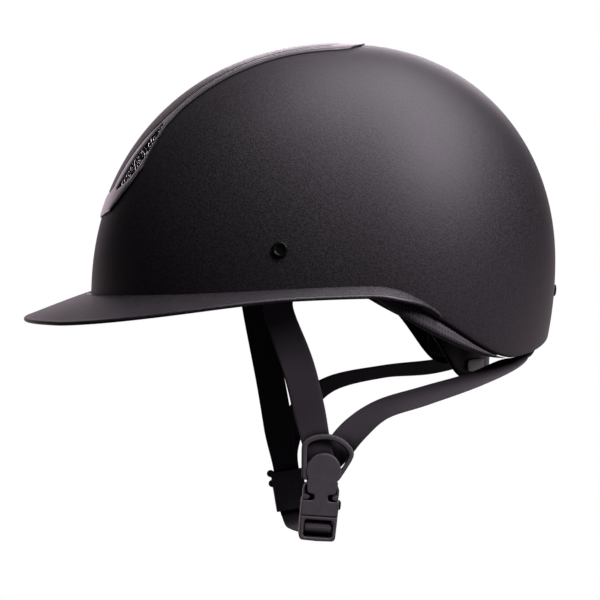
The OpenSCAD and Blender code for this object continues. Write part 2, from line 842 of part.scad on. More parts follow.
module right_front_strap() {
    color(black)
        difference() {
            webbing(concat(front_inside(1), [
                front_under(1),
                [from_divider([-0.2, 6.2, 67.8]), [-0.98, 0, 0.14]],
                [from_divider([-0.4, 0.2, 32]), -divider_edge],
                [from_divider([0, -strap_t / 2 - gap / 2, 15]), -divider_edge],
                [from_divider([0, -strap_t / 2 - gap / 2, 6]), -divider_edge],
                [from_divider([0, -strap_t / 2 - gap / 2, 1]), -divider_edge]]));
            rivet_hole(rivet_angle, rivet_level);
        }
}

module right_rear_strap() {
    leave = from_divider([15.5, strap_t / 2 + 8, 48]);
    arrive = rear_under(1)[0];
    color(black)
        difference() {
            webbing(concat([
                [from_divider([0, strap_t / 2 + gap / 2, 1]), divider_edge],
                [from_divider([0, strap_t / 2 + gap / 2, 9]), divider_edge],
                [from_divider([2.4, strap_t / 2 + 3.2, 27]), [0.98, 0, -0.2]],
                [leave, [0.75, 0.3, -0.6]],
                [between(leave, arrive, 0.18, 10.2, 9.6), [0.35, 0.7, -0.62]],
                [between(leave, arrive, 0.48, 14.4, 6.2), [0.2, 0.8, -0.55]],
                [between(leave, arrive, 0.77, 16.4, -1.2), [0.2, 0.77, -0.6]],
                rear_under(1)],
                rear_inside(1)));
            rivet_hole(0, rear_rivet_level);
        }
}

// Side release buckle: housing with strap loop, clip and two sprung prongs

throat_top = -throat_drop;
throat_foot = throat_top - throat_h;
clip_top = throat_foot - gap;
clip_foot = clip_top - clip_h;
clip_mid = (clip_top + clip_foot) / 2;
mouth_w = buckle_w - 2 * throat_wall;
mouth_t = buckle_t - 2.4;
prong_t = mouth_t - 2 * gap;
prong_x = mouth_w / 2 - 2.2;
prong_z = clip_top + 0.5;
prong_root = 1.5;
window_w = strap_w + 2 * slot_gap;
window_h = clip_bar + 2 * (strap_t + 2 * slot_gap);
front_y = -buckle_t / 2;
back_plate = 1.2;
// the back of the waist is wide, behind the prongs
back_waist = 16.6;

module in_buckle() {
    translate([buckle_x, buckle_y, buckle_z])
        rotate([buckle_lean, buckle_tilt, 0])
            children();
}

// a flat outline standing in the buckle's plane, between two depths
module slab(near, far) {
    translate([0, far, 0])
        rotate([90, 0, 0])
            linear_extrude(far - near)
                children();
}

module loop_outline(inset) {
    intersection() {
        translate([0, 1.5]) circle(r = arch_r - inset);
        polygon([
            [-12 + inset, -6.4], [9 - inset, -6.4], [17.9 - inset, 10.3 - inset * 0.2],
            [21 - inset, 26], [-15 + inset, 26]]);
    }
}

module waist_outline(w) {
    difference() {
        translate([-buckle_w / 2, throat_top - 0.5]) square([buckle_w, throat_drop - 4]);
        for (side = [-1, 1])
            translate([side * (w / 2 + 12), throat_top + 7.2]) circle(r = 12);
        for (side = [-1, 1])
            translate([side * (w / 2 + 6) - 6, throat_top + 0.4]) square([12, 20]);
    }
}

module buckle_housing() {
    color(charcoal)
        in_buckle() {
            difference() {
                union() {
                    slab(front_y, front_y + disc_t) {
                        circle(d = disc_d);
                        waist_outline(waist_w);
                    }
                    slab(front_y + 0.5, front_y + disc_t)
                        difference() {
                            loop_outline(0);
                            difference() {
                                loop_outline(arch_bar);
                                circle(d = disc_d + 1.2);
                            }
                        }
                    slab(buckle_t / 2 - back_plate, buckle_t / 2) {
                        circle(d = disc_d - 3);
                        translate([-back_waist / 2, throat_top - 0.5])
                            square([back_waist, throat_drop - 4]);
                    }
                    slab(front_y + 1, buckle_t / 2 - 0.5) circle(d = post_d);
                    translate([-buckle_w / 2, front_y, throat_foot])
                        cube([buckle_w, buckle_t, throat_h]);
                }
                translate([-mouth_w / 2, -mouth_t / 2, throat_foot - 1])
                    cube([mouth_w, mouth_t, throat_h + 2]);
            }
        }
}

module buckle_clip() {
    tongue_w = 2 * (prong_x - prong_root) - 3;
    color(charcoal)
        in_buckle()
            difference() {
                union() {
                    translate([-buckle_w / 2, front_y, clip_foot])
                        cube([buckle_w, buckle_t, clip_h]);
                    translate([-tongue_w / 2, -prong_t / 2, clip_top - 1])
                        cube([tongue_w, prong_t, throat_h + 1]);
                }
                translate([0, 0, clip_mid])
                    difference() {
                        translate([-window_w / 2, front_y - 1, -window_h / 2])
                            cube([window_w, buckle_t + 2, window_h]);
                        rotate([0, 90, 0])
                            cylinder(d = clip_bar, h = window_w + 2, center = true);
                    }
                for (side = [-1, 1])
                    translate([side * prong_x, 0, prong_z])
                        rotate([90, 0, 0])
                            cylinder(r = prong_root + gap, h = buckle_t + 2, center = true);
            }
}

// outline of a prong, measured from its root
module prong_outline() {
    rise = throat_top - prong_z;
    slim = mouth_w / 2 - prong_x - 0.3;
    difference() {
        union() {
            circle(r = prong_root);
            polygon([
                [-1.2, 0], [slim - 0.2, 0], [slim - 0.2, rise + gap],
                [slim + 0.7, rise + gap + 0.1], [slim + 0.9, rise + 4.2], [slim + 0.8, rise + 7],
                [slim - 0.1, rise + 9], [slim - 1.4, rise + 9.4], [-0.9, rise + 6], [-1.2, rise]]);
        }
        translate([-1.6, rise + 6.6]) circle(r = 1.3);
    }
}

module prong(side) {
    color(charcoal)
        in_buckle()
            translate([side * prong_x, 0, prong_z])
                slab(-prong_t / 2, prong_t / 2)
                    mirror([side < 0 ? 1 : 0, 0])
                        prong_outline();
}

module prong_front() {
    prong(-1);
}

module prong_rear() {
    prong(1);
}

// Divider on the wearer's right and the chin strap

module strap_divider() {
    inner_w = strap_w + 2 * slot_gap;
    inner_t = 2 * strap_t + 5 * gap;
    outer_w = inner_w + 2 * divider_wall;
    outer_t = inner_t + 2 * divider_wall;
    color(black)
        translate([divider_x, divider_y, divider_z])
            rotate([-buckle_lean, divider_tilt, 0])
                difference() {
                    union() {
                        translate([-outer_w / 2, -outer_t / 2, -divider_h / 2])
                            cube([outer_w, outer_t, divider_h]);
                        for (down = [0.5, 6.8])
                            translate([-outer_w / 2, 0, divider_h / 2 - down])
                                rotate([90, 0, 0])
                                    cylinder(d = lobe_d, h = outer_t - 2, center = true);
                    }
                    translate([-inner_w / 2, -inner_t / 2, -divider_h / 2 - 1])
                        cube([inner_w, inner_t, divider_h + 2]);
                }
}

// the loose end of the chin strap behind the clip
tail_x = 2.6;
tail_y = buckle_t / 2 + 2.8;
tail_end = 4;
cap_t = strap_t + 6 * gap + 0.6;
cap_w = strap_w + 4.6;
wrap = clip_bar / 2 + strap_t / 2 + gap;

module chin_strap() {
    slanted = swing([0.95, 0, -0.3], buckle_lean, buckle_tilt);
    leave = from_divider([0.4, -1.5, -divider_h / 2 - 3]);
    arrive = from_buckle([0, 10, clip_mid - wrap - 3.4]);
    color(black)
        webbing([
            [from_divider([0, 0, 0.3]), divider_edge],
            [from_divider([0, 0, -divider_h / 2 + 1]), divider_edge],
            [leave, divider_edge],
            [between(leave, arrive, 0.2, 0, -chin_sag), divider_edge],
            [between(leave, arrive, 0.5, 0, -chin_sag), [1, 0, 0]],
            [between(leave, arrive, 0.8, 0, -chin_sag * 0.5), edge_on],
            [arrive, edge_on],
            [from_buckle([0, 4.4, clip_mid - wrap - 0.4]), edge_on],
            for (t = [-90:36:90])
                [from_buckle([0, -wrap * cos(t), clip_mid + wrap * sin(t)]), edge_on],
            [from_buckle([0.2, 4.4, clip_mid + wrap + 0.2]), edge_on],
            [from_buckle([1.2, tail_y - 0.3, clip_top - 2.2]), slanted],
            [from_buckle([2.2, tail_y, clip_top - 0.4]), slanted],
            [from_buckle([tail_x, tail_y, clip_top + 1.4]), edge_on],
            [from_buckle([tail_x, tail_y, clip_top + tail_end]), edge_on]], 4);
}

module strap_end_cap() {
    color(black)
        in_buckle()
            translate([tail_x, tail_y, clip_top + tail_end])
                difference() {
                    translate([-cap_w / 2, -cap_t / 2, -2.4])
                        cube([cap_w, cap_t, 5.2]);
                    translate([-strap_w / 2 - slot_gap, -strap_t / 2 - 2 * gap, -4])
                        cube([strap_w + 2 * slot_gap, strap_t + 4 * gap, 5]);
                }
}

outer_shell();
peak();
trim_frame();
crown_panel();
vent_mesh();
side_rivets();
rear_rivet();
eps_liner();
rim_lining();
headband();
crown_pad();
nape_cradle();
nape_pad();
nape_tab();
left_front_strap();
left_rear_strap();
right_front_strap();
right_rear_strap();
buckle_housing();
buckle_clip();
prong_front();
prong_rear();
strap_divider();
chin_strap();
strap_end_cap();
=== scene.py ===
# %% [markdown]
# # A riding helmet with a wide peak
# This lesson dresses a finished construction model in Blender. The construction model is the frame:
# it says where every piece is and how big it is, and Blender adds the smooth surfaces, the cloth,
# the webbing and the finishes that make it look real. A few small fits to the photograph depart
# from the frame, and the text says so where they are made.

# %% Load the frame
import math

import bmesh
import bpy
import numpy as np
from mathutils import Matrix, Vector


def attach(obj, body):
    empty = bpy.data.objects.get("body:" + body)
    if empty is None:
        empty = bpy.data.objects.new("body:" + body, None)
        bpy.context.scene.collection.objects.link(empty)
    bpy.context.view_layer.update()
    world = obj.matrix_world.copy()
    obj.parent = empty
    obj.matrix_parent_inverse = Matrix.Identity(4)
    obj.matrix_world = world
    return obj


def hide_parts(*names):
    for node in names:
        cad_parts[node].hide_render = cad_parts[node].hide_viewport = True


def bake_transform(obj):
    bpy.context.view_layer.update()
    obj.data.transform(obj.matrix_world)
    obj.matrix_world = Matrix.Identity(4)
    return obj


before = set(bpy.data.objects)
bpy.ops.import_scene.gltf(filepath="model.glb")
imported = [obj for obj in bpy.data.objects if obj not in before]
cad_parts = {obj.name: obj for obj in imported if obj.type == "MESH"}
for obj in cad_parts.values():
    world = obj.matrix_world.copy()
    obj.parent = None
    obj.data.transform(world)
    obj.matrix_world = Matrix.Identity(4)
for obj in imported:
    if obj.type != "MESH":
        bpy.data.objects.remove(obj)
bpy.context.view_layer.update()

print("pieces in the frame:", len(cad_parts))

# %% [markdown]
# ## Small tools
# Sizes in this lesson are millimetres, as on a drawing, and become metres when a mesh is made.
# Colours are written as sRGB hex values, as a colour picker shows them, and Blender's shaders work
# in linear light, so one function turns the first into the second. One more function adds a node to
# a tree, sets its options and links its sockets. The short functions after it name what the
# finishes do with nodes, so that a material reads as a short list.

# %% Units, colours and nodes
MM = 0.001
# GAP_BLACK and the numbers after it set a painted shade: the colour darkens to near black in narrow
# gaps and where parts are close.
GAP_BLACK, GAP_REACH_MM, GAP_LEAST, GAP_SPAN = "#020202", 6.0, 0.05, (0.45, 0.96)


def linear(hex_colour):
    parts = [int(hex_colour[i:i + 2], 16) / 255 for i in (1, 3, 5)]
    return [c / 12.92 if c <= 0.04045 else ((c + 0.055) / 1.055) ** 2.4 for c in parts] + [1.0]


def add(tree, kind, inputs=None, **options):
    node = tree.nodes.new(kind)
    for option, value in options.items():
        setattr(node, option, value)
    for socket, value in (inputs or {}).items():
        if isinstance(value, bpy.types.NodeSocket):
            tree.links.new(value, node.inputs[socket])
        else:
            node.inputs[socket].default_value = value
    return node


def input_of(shader, name):
    return shader.inputs[name.replace("_", " ").title().replace("Ior", "IOR")]


def start_material(name, **sockets):
    material = bpy.data.materials.new(name)
    material.use_nodes = True
    shader = material.node_tree.nodes["Principled BSDF"]
    for socket, value in sockets.items():
        input_of(shader, socket).default_value = value
    return material, material.node_tree, shader


def feed(tree, shader, **sources):
    """Links each source to the shader's input of that name."""
    for socket, source in sources.items():
        tree.links.new(source, input_of(shader, socket))


def coordinates(tree, kind="Object"):
    return add(tree, "ShaderNodeTexCoord").outputs[kind]


def noise(tree, place, grain_mm, detail=2.0):
    """A soft random pattern with grains of the given width."""
    sockets = {"Vector": place, "Scale": 1 / (grain_mm * MM), "Detail": detail}
    return add(tree, "ShaderNodeTexNoise", sockets).outputs[0]


def remap(tree, value, span=(0.0, 1.0), onto=(0.0, 1.0), **options):
    """Stretches one span of values onto another."""
    sockets = {"Value": value, "From Min": span[0], "From Max": span[1],
               "To Min": onto[0], "To Max": onto[1]}
    return add(tree, "ShaderNodeMapRange", sockets, **options).outputs[0]


def maths(tree, operation, *values):
    return add(tree, "ShaderNodeMath", dict(enumerate(values)), operation=operation).outputs[0]


def emboss(tree, shader, height, strength, depth_mm):
    sockets = {"Height": height, "Strength": strength, "Distance": depth_mm * MM}
    feed(tree, shader, normal=add(tree, "ShaderNodeBump", sockets).outputs[0])


def blend_colours(tree, share, dark, light):
    """Either end is a written colour or the outcome of another node."""
    ends = [linear(end) if isinstance(end, str) else end for end in (dark, light)]
    sockets = {0: share, 6: ends[0], 7: ends[1]}
    return add(tree, "ShaderNodeMix", sockets, data_type="RGBA").outputs[2]


def paint_gap_shade(tree, colour):
    """Painted shade: a colour falls off to near black where something is near, as in narrow gaps.
    """
    near = add(tree, "ShaderNodeAmbientOcclusion", {"Distance": GAP_REACH_MM * MM}, samples=8)
    open_share = remap(tree, near.outputs["AO"], GAP_SPAN, (GAP_LEAST, 1.0))
    return blend_colours(tree, open_share, GAP_BLACK, colour)


def speckled(name, grain_mm, dark, light, detail=2.0, span=None, rough=None, bump=None, **sockets):
    """A finish that follows one speckle: in colour, and in roughness and relief where given."""
    material, tree, shader = start_material(name, **sockets)
    grain = noise(tree, coordinates(tree), grain_mm, detail)
    share = remap(tree, grain, span) if span else grain
    feed(tree, shader, base_color=blend_colours(tree, share, dark, light))
    if rough:
        feed(tree, shader, roughness=remap(tree, grain, onto=rough))
    if bump:
        emboss(tree, shader, grain, *bump)
    return material


# %% [markdown]
# ## Skins over rows of points
# Most pieces here are skins: rows of points that follow a rule, with quads between them. A row can
# close on itself, like a ring round the head, and the last row can meet the first, like a bracelet.
# After the skin is made, points that fall together are merged and the faces are turned outwards.

# %% Make a mesh from rows of points
MERGE_MM = 0.01


def skin_faces(rows, columns, ring=False, loop=False, cap=False):
    faces = []
    for i in range(rows if loop else rows - 1):
        for j in range(columns if ring else columns - 1):
            k, n = (j + 1) % columns, (i + 1) % rows
            faces.append((i * columns + j, i * columns + k, n * columns + k, n * columns + j))
    if cap:
        faces.append(tuple(range(columns)))
        faces.append(tuple(range((rows - 1) * columns, rows * columns)))
    return faces


def read_points(mesh):
    flat = np.empty(len(mesh.vertices) * 3)
    mesh.vertices.foreach_get("co", flat)
    return flat.reshape(-1, 3)


def write_points(mesh, points):
    mesh.vertices.foreach_set("co", points.ravel())
    mesh.update()


def shade_smooth(mesh):
    for polygon in mesh.polygons:
        polygon.use_smooth = True


def finish_mesh(mesh, merge=MERGE_MM):
    work = bmesh.new()
    work.from_mesh(mesh)
    bmesh.ops.remove_doubles(work, verts=work.verts, dist=merge * MM)
    bmesh.ops.recalc_face_normals(work, faces=work.faces)
    work.to_mesh(mesh)
    work.free()
    shade_smooth(mesh)


def new_piece(name, mesh):
    piece = bpy.data.objects.new("dressed_" + name, mesh)
    bpy.context.scene.collection.objects.link(piece)
    return piece


def piece_from(name, points, faces, merge=MERGE_MM, uv=None):
    mesh = bpy.data.meshes.new(name)
    mesh.from_pydata((np.asarray(points, float).reshape(-1, 3) * MM).tolist(), [], faces)
    if uv is not None:
        corners = np.empty(len(mesh.loops), int)
        mesh.loops.foreach_get("vertex_index", corners)
        flat = np.asarray(uv, float).reshape(-1, 2)[corners] * MM
        mesh.uv_layers.new(name="cloth").data.foreach_set("uv", flat.ravel())
    finish_mesh(mesh, merge)
    return new_piece(name, mesh)


def skin(name, rows, ring=False, loop=False, cap=False, merge=MERGE_MM, uv=None):
    rows = np.asarray(rows, float)
    faces = skin_faces(rows.shape[0], rows.shape[1], ring, loop, cap)
    return piece_from(name, rows, faces, merge, uv)


def mesh_of(piece):
    """Takes a piece's mesh and drops the object that held it."""
    mesh = piece.data
    bpy.data.objects.remove(piece)
    return mesh


def joined(name, meshes):
    work = bmesh.new()
    for mesh in meshes:
        work.from_mesh(mesh)
    whole = bpy.data.meshes.new(name)
    work.to_mesh(whole)
    work.free()
    return new_piece(name, whole)


def freeze(piece):
    """Replaces a piece's mesh by the result of its modifiers, and removes them."""
    bpy.context.view_layer.update()
    solved = piece.evaluated_get(bpy.context.evaluated_depsgraph_get())
    mesh = bpy.data.meshes.new_from_object(solved)
    piece.modifiers.clear()
    piece.data = mesh
    return piece


def cut_away(piece, cutters):
    for cutter in cutters:
        tool = piece.modifiers.new("cut", "BOOLEAN")
        tool.operation, tool.solver, tool.object = "DIFFERENCE", "EXACT", cutter
    freeze(piece)
    for cutter in cutters:
        bpy.data.objects.remove(cutter)


def settle(piece, body, material, slot, *nodes):
    """Gives a piece its finish, the body that it rides on and the nodes that it stands for."""
    piece.data.materials.clear()
    piece.data.materials.append(material)
    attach(piece, body)
    if nodes:
        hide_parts(*nodes)
    print(piece.name, len(piece.data.polygons), "faces")


# %% [markdown]
# ## Camera
# The photograph was taken from the helmet's left, a little in front of square and from a little
# above, with a long lens. Two angles, a distance and the point in the middle of the picture are
# enough to place the camera.

# %% Place the camera
CAMERA_TURN = math.radians(-4.5)
CAMERA_RISE = math.radians(3.5)
CAMERA_AWAY = 1.35
CAMERA_AIM = Vector((-13.8, 0, -4.8)) * MM

back = Vector((
    math.sin(CAMERA_TURN) * math.cos(CAMERA_RISE),
    -math.cos(CAMERA_TURN) * math.cos(CAMERA_RISE),
    math.sin(CAMERA_RISE)))
right = Vector((math.cos(CAMERA_TURN), math.sin(CAMERA_TURN), 0))
camera = bpy.data.objects.new("camera", bpy.data.cameras.new("camera"))
camera.data.lens = 135
camera.data.sensor_width = 36
camera.data.clip_end = 20
turned = Matrix((right, back.cross(right), back)).transposed().to_4x4()
camera.matrix_world = Matrix.Translation(CAMERA_AIM + back * CAMERA_AWAY) @ turned
bpy.context.scene.collection.objects.link(camera)
bpy.context.scene.camera = camera
print("camera at", [round(c, 3) for c in camera.location])

# %% [markdown]
# ## Light
# The studio is a dark room with one large softbox high on the right. A smaller box from the front
# lights the straps, and two narrow ones from behind draw the edges. A matt black lacquer shows such
# a room mostly by its soft sheen: dark where it mirrors the room, pale where it mirrors a softbox.
# White paper lies below and sweeps up behind and to the right. The camera sees white all round, and
# what shines or is clear sees it where the sweep is. The photograph has hardly any light from
# below, so to bounced light the paper is dark.

# %% Floor, world and lamps
FLOOR_LEVEL_MM, FLOOR_HALF_MM = -420, 4000
ROOM_LIGHT, WORLD_SWEEP, FLOOR_SWEEP, FLOOR_GLOW = 0.012, (0.74, 0.88), (0.4, 1.1), (0.6, 1.2)
SWEEP_TINT, RIM_TINT = "#f0e0e8", "#f8ecf6"
LAMP_AIM = Vector((0, 0, 0.02))

scene = bpy.context.scene
scene.view_settings.view_transform = "Standard"


def seen_white(tree, path, sweep):
    """One to the camera, and to a mirrored or passing ray where it meets the sweep."""
    mirrored = maths(tree, "MAXIMUM", path["Is Glossy Ray"], path["Is Transmission Ray"])
    return maths(tree, "MAXIMUM", path["Is Camera Ray"], maths(tree, "MULTIPLY", mirrored, sweep))


def sweep_colour(tree, path):
    return blend_colours(tree, path["Is Camera Ray"], SWEEP_TINT, "#ffffff")


scene.world = bpy.data.worlds.new("studio")
scene.world.use_nodes = True
tree = scene.world.node_tree
tree.nodes.clear()
path = add(tree, "ShaderNodeLightPath").outputs
ways = add(tree, "ShaderNodeSeparateXYZ", {0: coordinates(tree, "Generated")}).outputs
seen = seen_white(tree, path, remap(tree, ways["Y"], WORLD_SWEEP))
room = add(tree, "ShaderNodeBackground", {"Color": linear("#f4f2f4"), "Strength": ROOM_LIGHT})
white = add(tree, "ShaderNodeBackground", {"Color": sweep_colour(tree, path), "Strength": 1.0})
mixed = add(tree, "ShaderNodeMixShader", {0: seen, 1: room.outputs[0], 2: white.outputs[0]})
add(tree, "ShaderNodeOutputWorld", {"Surface": mixed.outputs[0]})

paper, tree, shader = start_material("studio_paper", roughness=0.9, specular_ior_level=0.1)
path = add(tree, "ShaderNodeLightPath").outputs
place = coordinates(tree)
ways = add(tree, "ShaderNodeSeparateXYZ", {0: place}).outputs
furthest = maths(tree, "MAXIMUM", ways["X"], ways["Y"])
seen = seen_white(tree, path, remap(tree, furthest, FLOOR_SWEEP))
feed(tree, shader, base_color=blend_colours(tree, seen, "#333133", "#f0eef0"))
away = add(tree, "ShaderNodeVectorMath", {0: place}, operation="LENGTH").outputs["Value"]
far = remap(tree, away, FLOOR_GLOW, interpolation_type="SMOOTHSTEP")
glow = add(tree, "ShaderNodeEmission", {"Color": sweep_colour(tree, path), "Strength": 1.0})
mixed = add(tree, "ShaderNodeMixShader", {
    0: maths(tree, "MULTIPLY", seen, far), 1: shader.outputs[0], 2: glow.outputs[0]})
tree.links.new(mixed.outputs[0], tree.nodes["Material Output"].inputs["Surface"])
floor = piece_from("floor", [
    (x * FLOOR_HALF_MM, y * FLOOR_HALF_MM, FLOOR_LEVEL_MM)
    for x, y in ((-1, -1), (1, -1), (1, 1), (-1, 1))], [(0, 1, 2, 3)])
floor.data.materials.append(paper)


def softbox(name, place, size, watts, colour="#ffffff"):
    lamp = bpy.data.lights.new(name, "AREA")
    lamp.shape = "RECTANGLE"
    lamp.size, lamp.size_y = size
    lamp.energy = watts
    lamp.color = linear(colour)[:3]
    box = bpy.data.objects.new(name, lamp)
    box.location = place
    box.rotation_euler = (LAMP_AIM - Vector(place)).to_track_quat("-Z", "Y").to_euler()
    scene.collection.objects.link(box)


softbox("overhead", (0.57, -0.28, 1.57), (1.6, 1.6), 44)
softbox("right_front", (0.86, -0.95, 0.95), (0.7, 0.7), 15)
softbox("rim_low", (0.3, 1.44, 0.68), (1.0, 0.5), 9, RIM_TINT)
softbox("rim_high", (0.2, 0.55, 1.5), (1.0, 0.8), 3.5, RIM_TINT)

# %% [markdown]
# ## The dome
# The shell is a smooth dome that is longer in front of its crown than behind it. Seen from above it
# is a squarish oval, and each profile is a squarish quarter oval that stands on a widest level and
# tucks in below it. The same rule with an inset gives the foam, the pads and the straps inside.

# %% The dome's rule
FRONT_REACH, REAR_REACH, HALF_WIDTH = 151.8, 125.4, 108.0
CROWN_HEIGHT, CROWN_BACK = 147.8, 13.2
FRONT_MID, REAR_MID = -4.8, 18.0
PLAN_POWER, FRONT_POWER, REAR_POWER = 2.2, 2.15, 2.1
TUCK, SHELL_WALL = 0.0022, 3.0
RIM_FRONT, RIM_EAR, RIM_NAPE, RIM_BACK = -4.0, 3.0, -34.0, -25.0
FRONT_SPAN, NAPE_SPAN, BACK_SPAN = (100, 180), (38, 86), (0, 40)


def cosd(angle):
    return np.cos(np.radians(angle))


def sind(angle):
    return np.sin(np.radians(angle))


def smooth(value, low, high):
    share = np.clip((value - low) / (high - low), 0, 1)
    return share * share * (3 - 2 * share)


def fold(angle):
    return np.abs((np.asarray(angle, float) + 180) % 360 - 180)


def unit(v):
    v = np.asarray(v, float)
    return v / np.linalg.norm(v, axis=-1, keepdims=True)


def lengths_along(points):
    """How far each point lies from the first one, along the line."""
    steps = np.linalg.norm(np.diff(points, axis=0), axis=1)
    return np.concatenate([[0], np.cumsum(steps)])


def mid_level(a):
    return (REAR_MID + FRONT_MID) / 2 + (REAR_MID - FRONT_MID) / 2 * cosd(a)


def dome_power(a):
    return (FRONT_POWER + REAR_POWER) / 2 - (FRONT_POWER - REAR_POWER) / 2 * cosd(a)


def plan_reach(a, inset=(0, 0, 0)):
    length = np.where(cosd(a) > 0, REAR_REACH, FRONT_REACH) - inset[0]
    width = HALF_WIDTH - inset[1]
    x, y = np.abs(cosd(a)) / length, np.abs(sind(a)) / width
    return (x ** PLAN_POWER + y ** PLAN_POWER) ** (-1 / PLAN_POWER)


def dome_r(a, z, inset=(0, 0, 0)):
    low, power = mid_level(a), dome_power(a)
    share = np.clip((z - low) / (CROWN_HEIGHT - inset[2] - low), 0, 1)
    reach = plan_reach(a, inset)
    return reach * (1 - share ** power) ** (1 / power) - TUCK * np.minimum(0, z - low) ** 2


def out_at(a, r, z):
    a, r, z = np.broadcast_arrays(np.asarray(a, float), r, z)
    return np.stack([CROWN_BACK + r * cosd(a), r * sind(a), z], -1)


def dome_at(a, z, inset=(0, 0, 0)):
    return out_at(a, dome_r(a, z, inset), z)


def dome_normal(a, z):
    around, up = dome_at(a + 1, z) - dome_at(a - 1, z), dome_at(a, z + 1) - dome_at(a, z - 1)
    return unit(np.cross(around, up))


def dome_tangent(a, z):
    return unit(dome_at(a + 1, z) - dome_at(a - 1, z))


def rim_at(angle):
    a = fold(angle)
    return (RIM_EAR + (RIM_FRONT - RIM_EAR) * smooth(a, *FRONT_SPAN)
            + (RIM_NAPE - RIM_EAR) * (1 - smooth(a, *NAPE_SPAN))
            + (RIM_BACK - RIM_NAPE) * (1 - smooth(a, *BACK_SPAN)))


def dome_rows(inset, low, rows, turns):
    """Rings from a lower edge to the crown, closer together where the dome curves in."""
    a = np.arange(turns) * 360 / turns
    top = CROWN_HEIGHT - inset[2]
    edge = low(a)
    return [dome_at(a, edge + (top - edge) * sind(90 * s) ** (2 / dome_power(a)), inset)
            for s in np.linspace(0, 1, rows)]


print("dome length", round(FRONT_REACH + REAR_REACH, 1), "mm")

# %% [markdown]
# ## Matt lacquer
# The shell, the peak and the panel between the rails are moulded ABS under a near black lacquer.
# What the eye sees is less its colour than a wide soft sheen with a lilac cast. Close up the
# lacquer has a fine grain, so colour, shine and roughness follow one speckle, with a little bump.
# The peak has a little more shine than the shell, and the panel is smoother. The real grain is
# finer than a pixel, so it is drawn a little coarser to show.

# %% Finish for the shell and the peak
GRAIN_MM, CLOUD_MM, CLOUD_SHARE, SPECKLE_SPAN = 1.1, 60, 0.25, (0.3, 0.72)


def lacquered(name, shine, smoothest, roughest):
    lacquer, tree, shader = start_material(name, specular_tint=linear("#faecfc"), ior=1.5)
    place = coordinates(tree)
    grain = noise(tree, place, GRAIN_MM)
    cloud = noise(tree, place, CLOUD_MM, detail=1.0)
    speckle = remap(tree, grain, SPECKLE_SPAN)
    drift = maths(tree, "MULTIPLY_ADD", cloud, CLOUD_SHARE, speckle)
    feed(tree, shader, base_color=blend_colours(tree, drift, "#0b090b", "#1c191d"),
         specular_ior_level=remap(tree, speckle, onto=(shine * 0.8, shine * 1.2)),
         roughness=remap(tree, speckle, onto=(smoothest, roughest)))
    emboss(tree, shader, grain, strength=0.32, depth_mm=0.25)
    return lacquer


lacquer = lacquered("matt_lacquer_on_abs", 0.6, 0.5, 0.6)
peak_lacquer = lacquered("satin_lacquer_on_abs", 0.95, 0.44, 0.6)
panel_lacquer = lacquered("smooth_lacquer_on_abs", 0.6, 0.4, 0.54)
print("grain of the lacquer:", GRAIN_MM, "mm")

# %% [markdown]
# ## The trim's outline
# A gloss trim runs from just above the peak to the crown. Its two rails split round a lens-shaped
# vent on each side. The outline is given by half widths at angles up the profile, and a place on
# the trim is found by walking out from the crown's foot until the dome is met.

# %% Places on the front of the dome
RAIL_OUTER = [[17, 4], [18, 18], [19.4, 30], [22.8, 37.4], [27.2, 43.4], [31.5, 45.6], [37.3, 41.9],
              [42, 38.6], [47, 36.9], [60, 35], [75, 32.6], [86.5, 32], [90.2, 29], [93, 20],
              [94.4, 6]]
PANEL_EDGE = [[17, 1], [22.4, 6], [23.2, 15], [24.4, 19.7], [30, 22.2], [37, 26], [42, 29],
              [47, 29.8], [60, 27], [75, 24.5], [85.5, 22.5], [88, 18], [89.4, 8], [94.4, 1.5]]
VENT_INNER = [[17, 2], [22, 22], [24.4, 28.6], [28, 31], [32.5, 31.7], [37, 33.4], [42.6, 33.2],
              [47, 33], [60, 30.5], [75, 28], [86.5, 27], [90.2, 23], [93, 14], [94.4, 3]]
VENT_WIDTH = [[17, 0.6], [24.4, 0.6], [26.9, 6], [30.4, 9.6], [33.8, 9], [36.7, 7], [39.8, 4.2],
              [42.6, 0.6], [94.4, 0.4]]
VENT_LOW, VENT_HIGH = 24.4, 42.6
PANEL_LOW, PANEL_HIGH = 22.4, 89.4
TRIM_LOW, TRIM_HIGH = 17.0, 94.4
RAIL_HEIGHT, PANEL_HEIGHT, GAP = 1.2, 0.8, 0.3


def read(table, angle):
    table = np.array(table)
    return np.interp(angle, table[:, 0], table[:, 1])


def dome_share(p):
    a = np.degrees(np.arctan2(p[..., 1], p[..., 0] - CROWN_BACK))
    low, power = mid_level(a), dome_power(a)
    r = np.hypot(p[..., 0] - CROWN_BACK, p[..., 1]) / plan_reach(a)
    h = np.maximum(0, p[..., 2] - low) / (CROWN_HEIGHT - low)
    return (r ** power + h ** power) ** (1 / power)


def trim_at(angle, y, height=0.0):
    angle, y, height = np.broadcast_arrays(np.asarray(angle, float), np.asarray(y, float), height)
    rho = np.full(angle.shape, CROWN_HEIGHT)
    for _ in range(8):
        p = np.stack([CROWN_BACK - rho * cosd(angle), y, rho * sind(angle)], -1)
        rho = rho / dome_share(p)
    p = np.stack([CROWN_BACK - rho * cosd(angle), y, rho * sind(angle)], -1)
    out = unit(np.stack([-cosd(angle) * rho, 2 * y, sind(angle) * rho], -1))
    return p + out * height[..., None]


print("trim from", trim_at(TRIM_LOW, 0).round(1), "to", trim_at(TRIM_HIGH, 0).round(1))

# %% [markdown]
# ## Outer shell
# The shell is one skin: up the outside in rings, round a soft edge at the rim, and up the inside.
# The two vents are real holes, cut by a lens-shaped tool that follows the trim's outline.

# %% Skin the shell and cut the vents
SHELL_TURNS, SHELL_RINGS, SHELL_INNER_RINGS, RIM_STEPS = 288, 100, 40, 7
RIM_SQUASH = 0.9
TOOL_OUT, TOOL_IN, TOOL_STEPS, TOOL_LEAST = 4, -9, 40, 0.3
TOOL_ENDS, TOOL_SIDES = (0.6, 0.8), (0.9, 0.8)


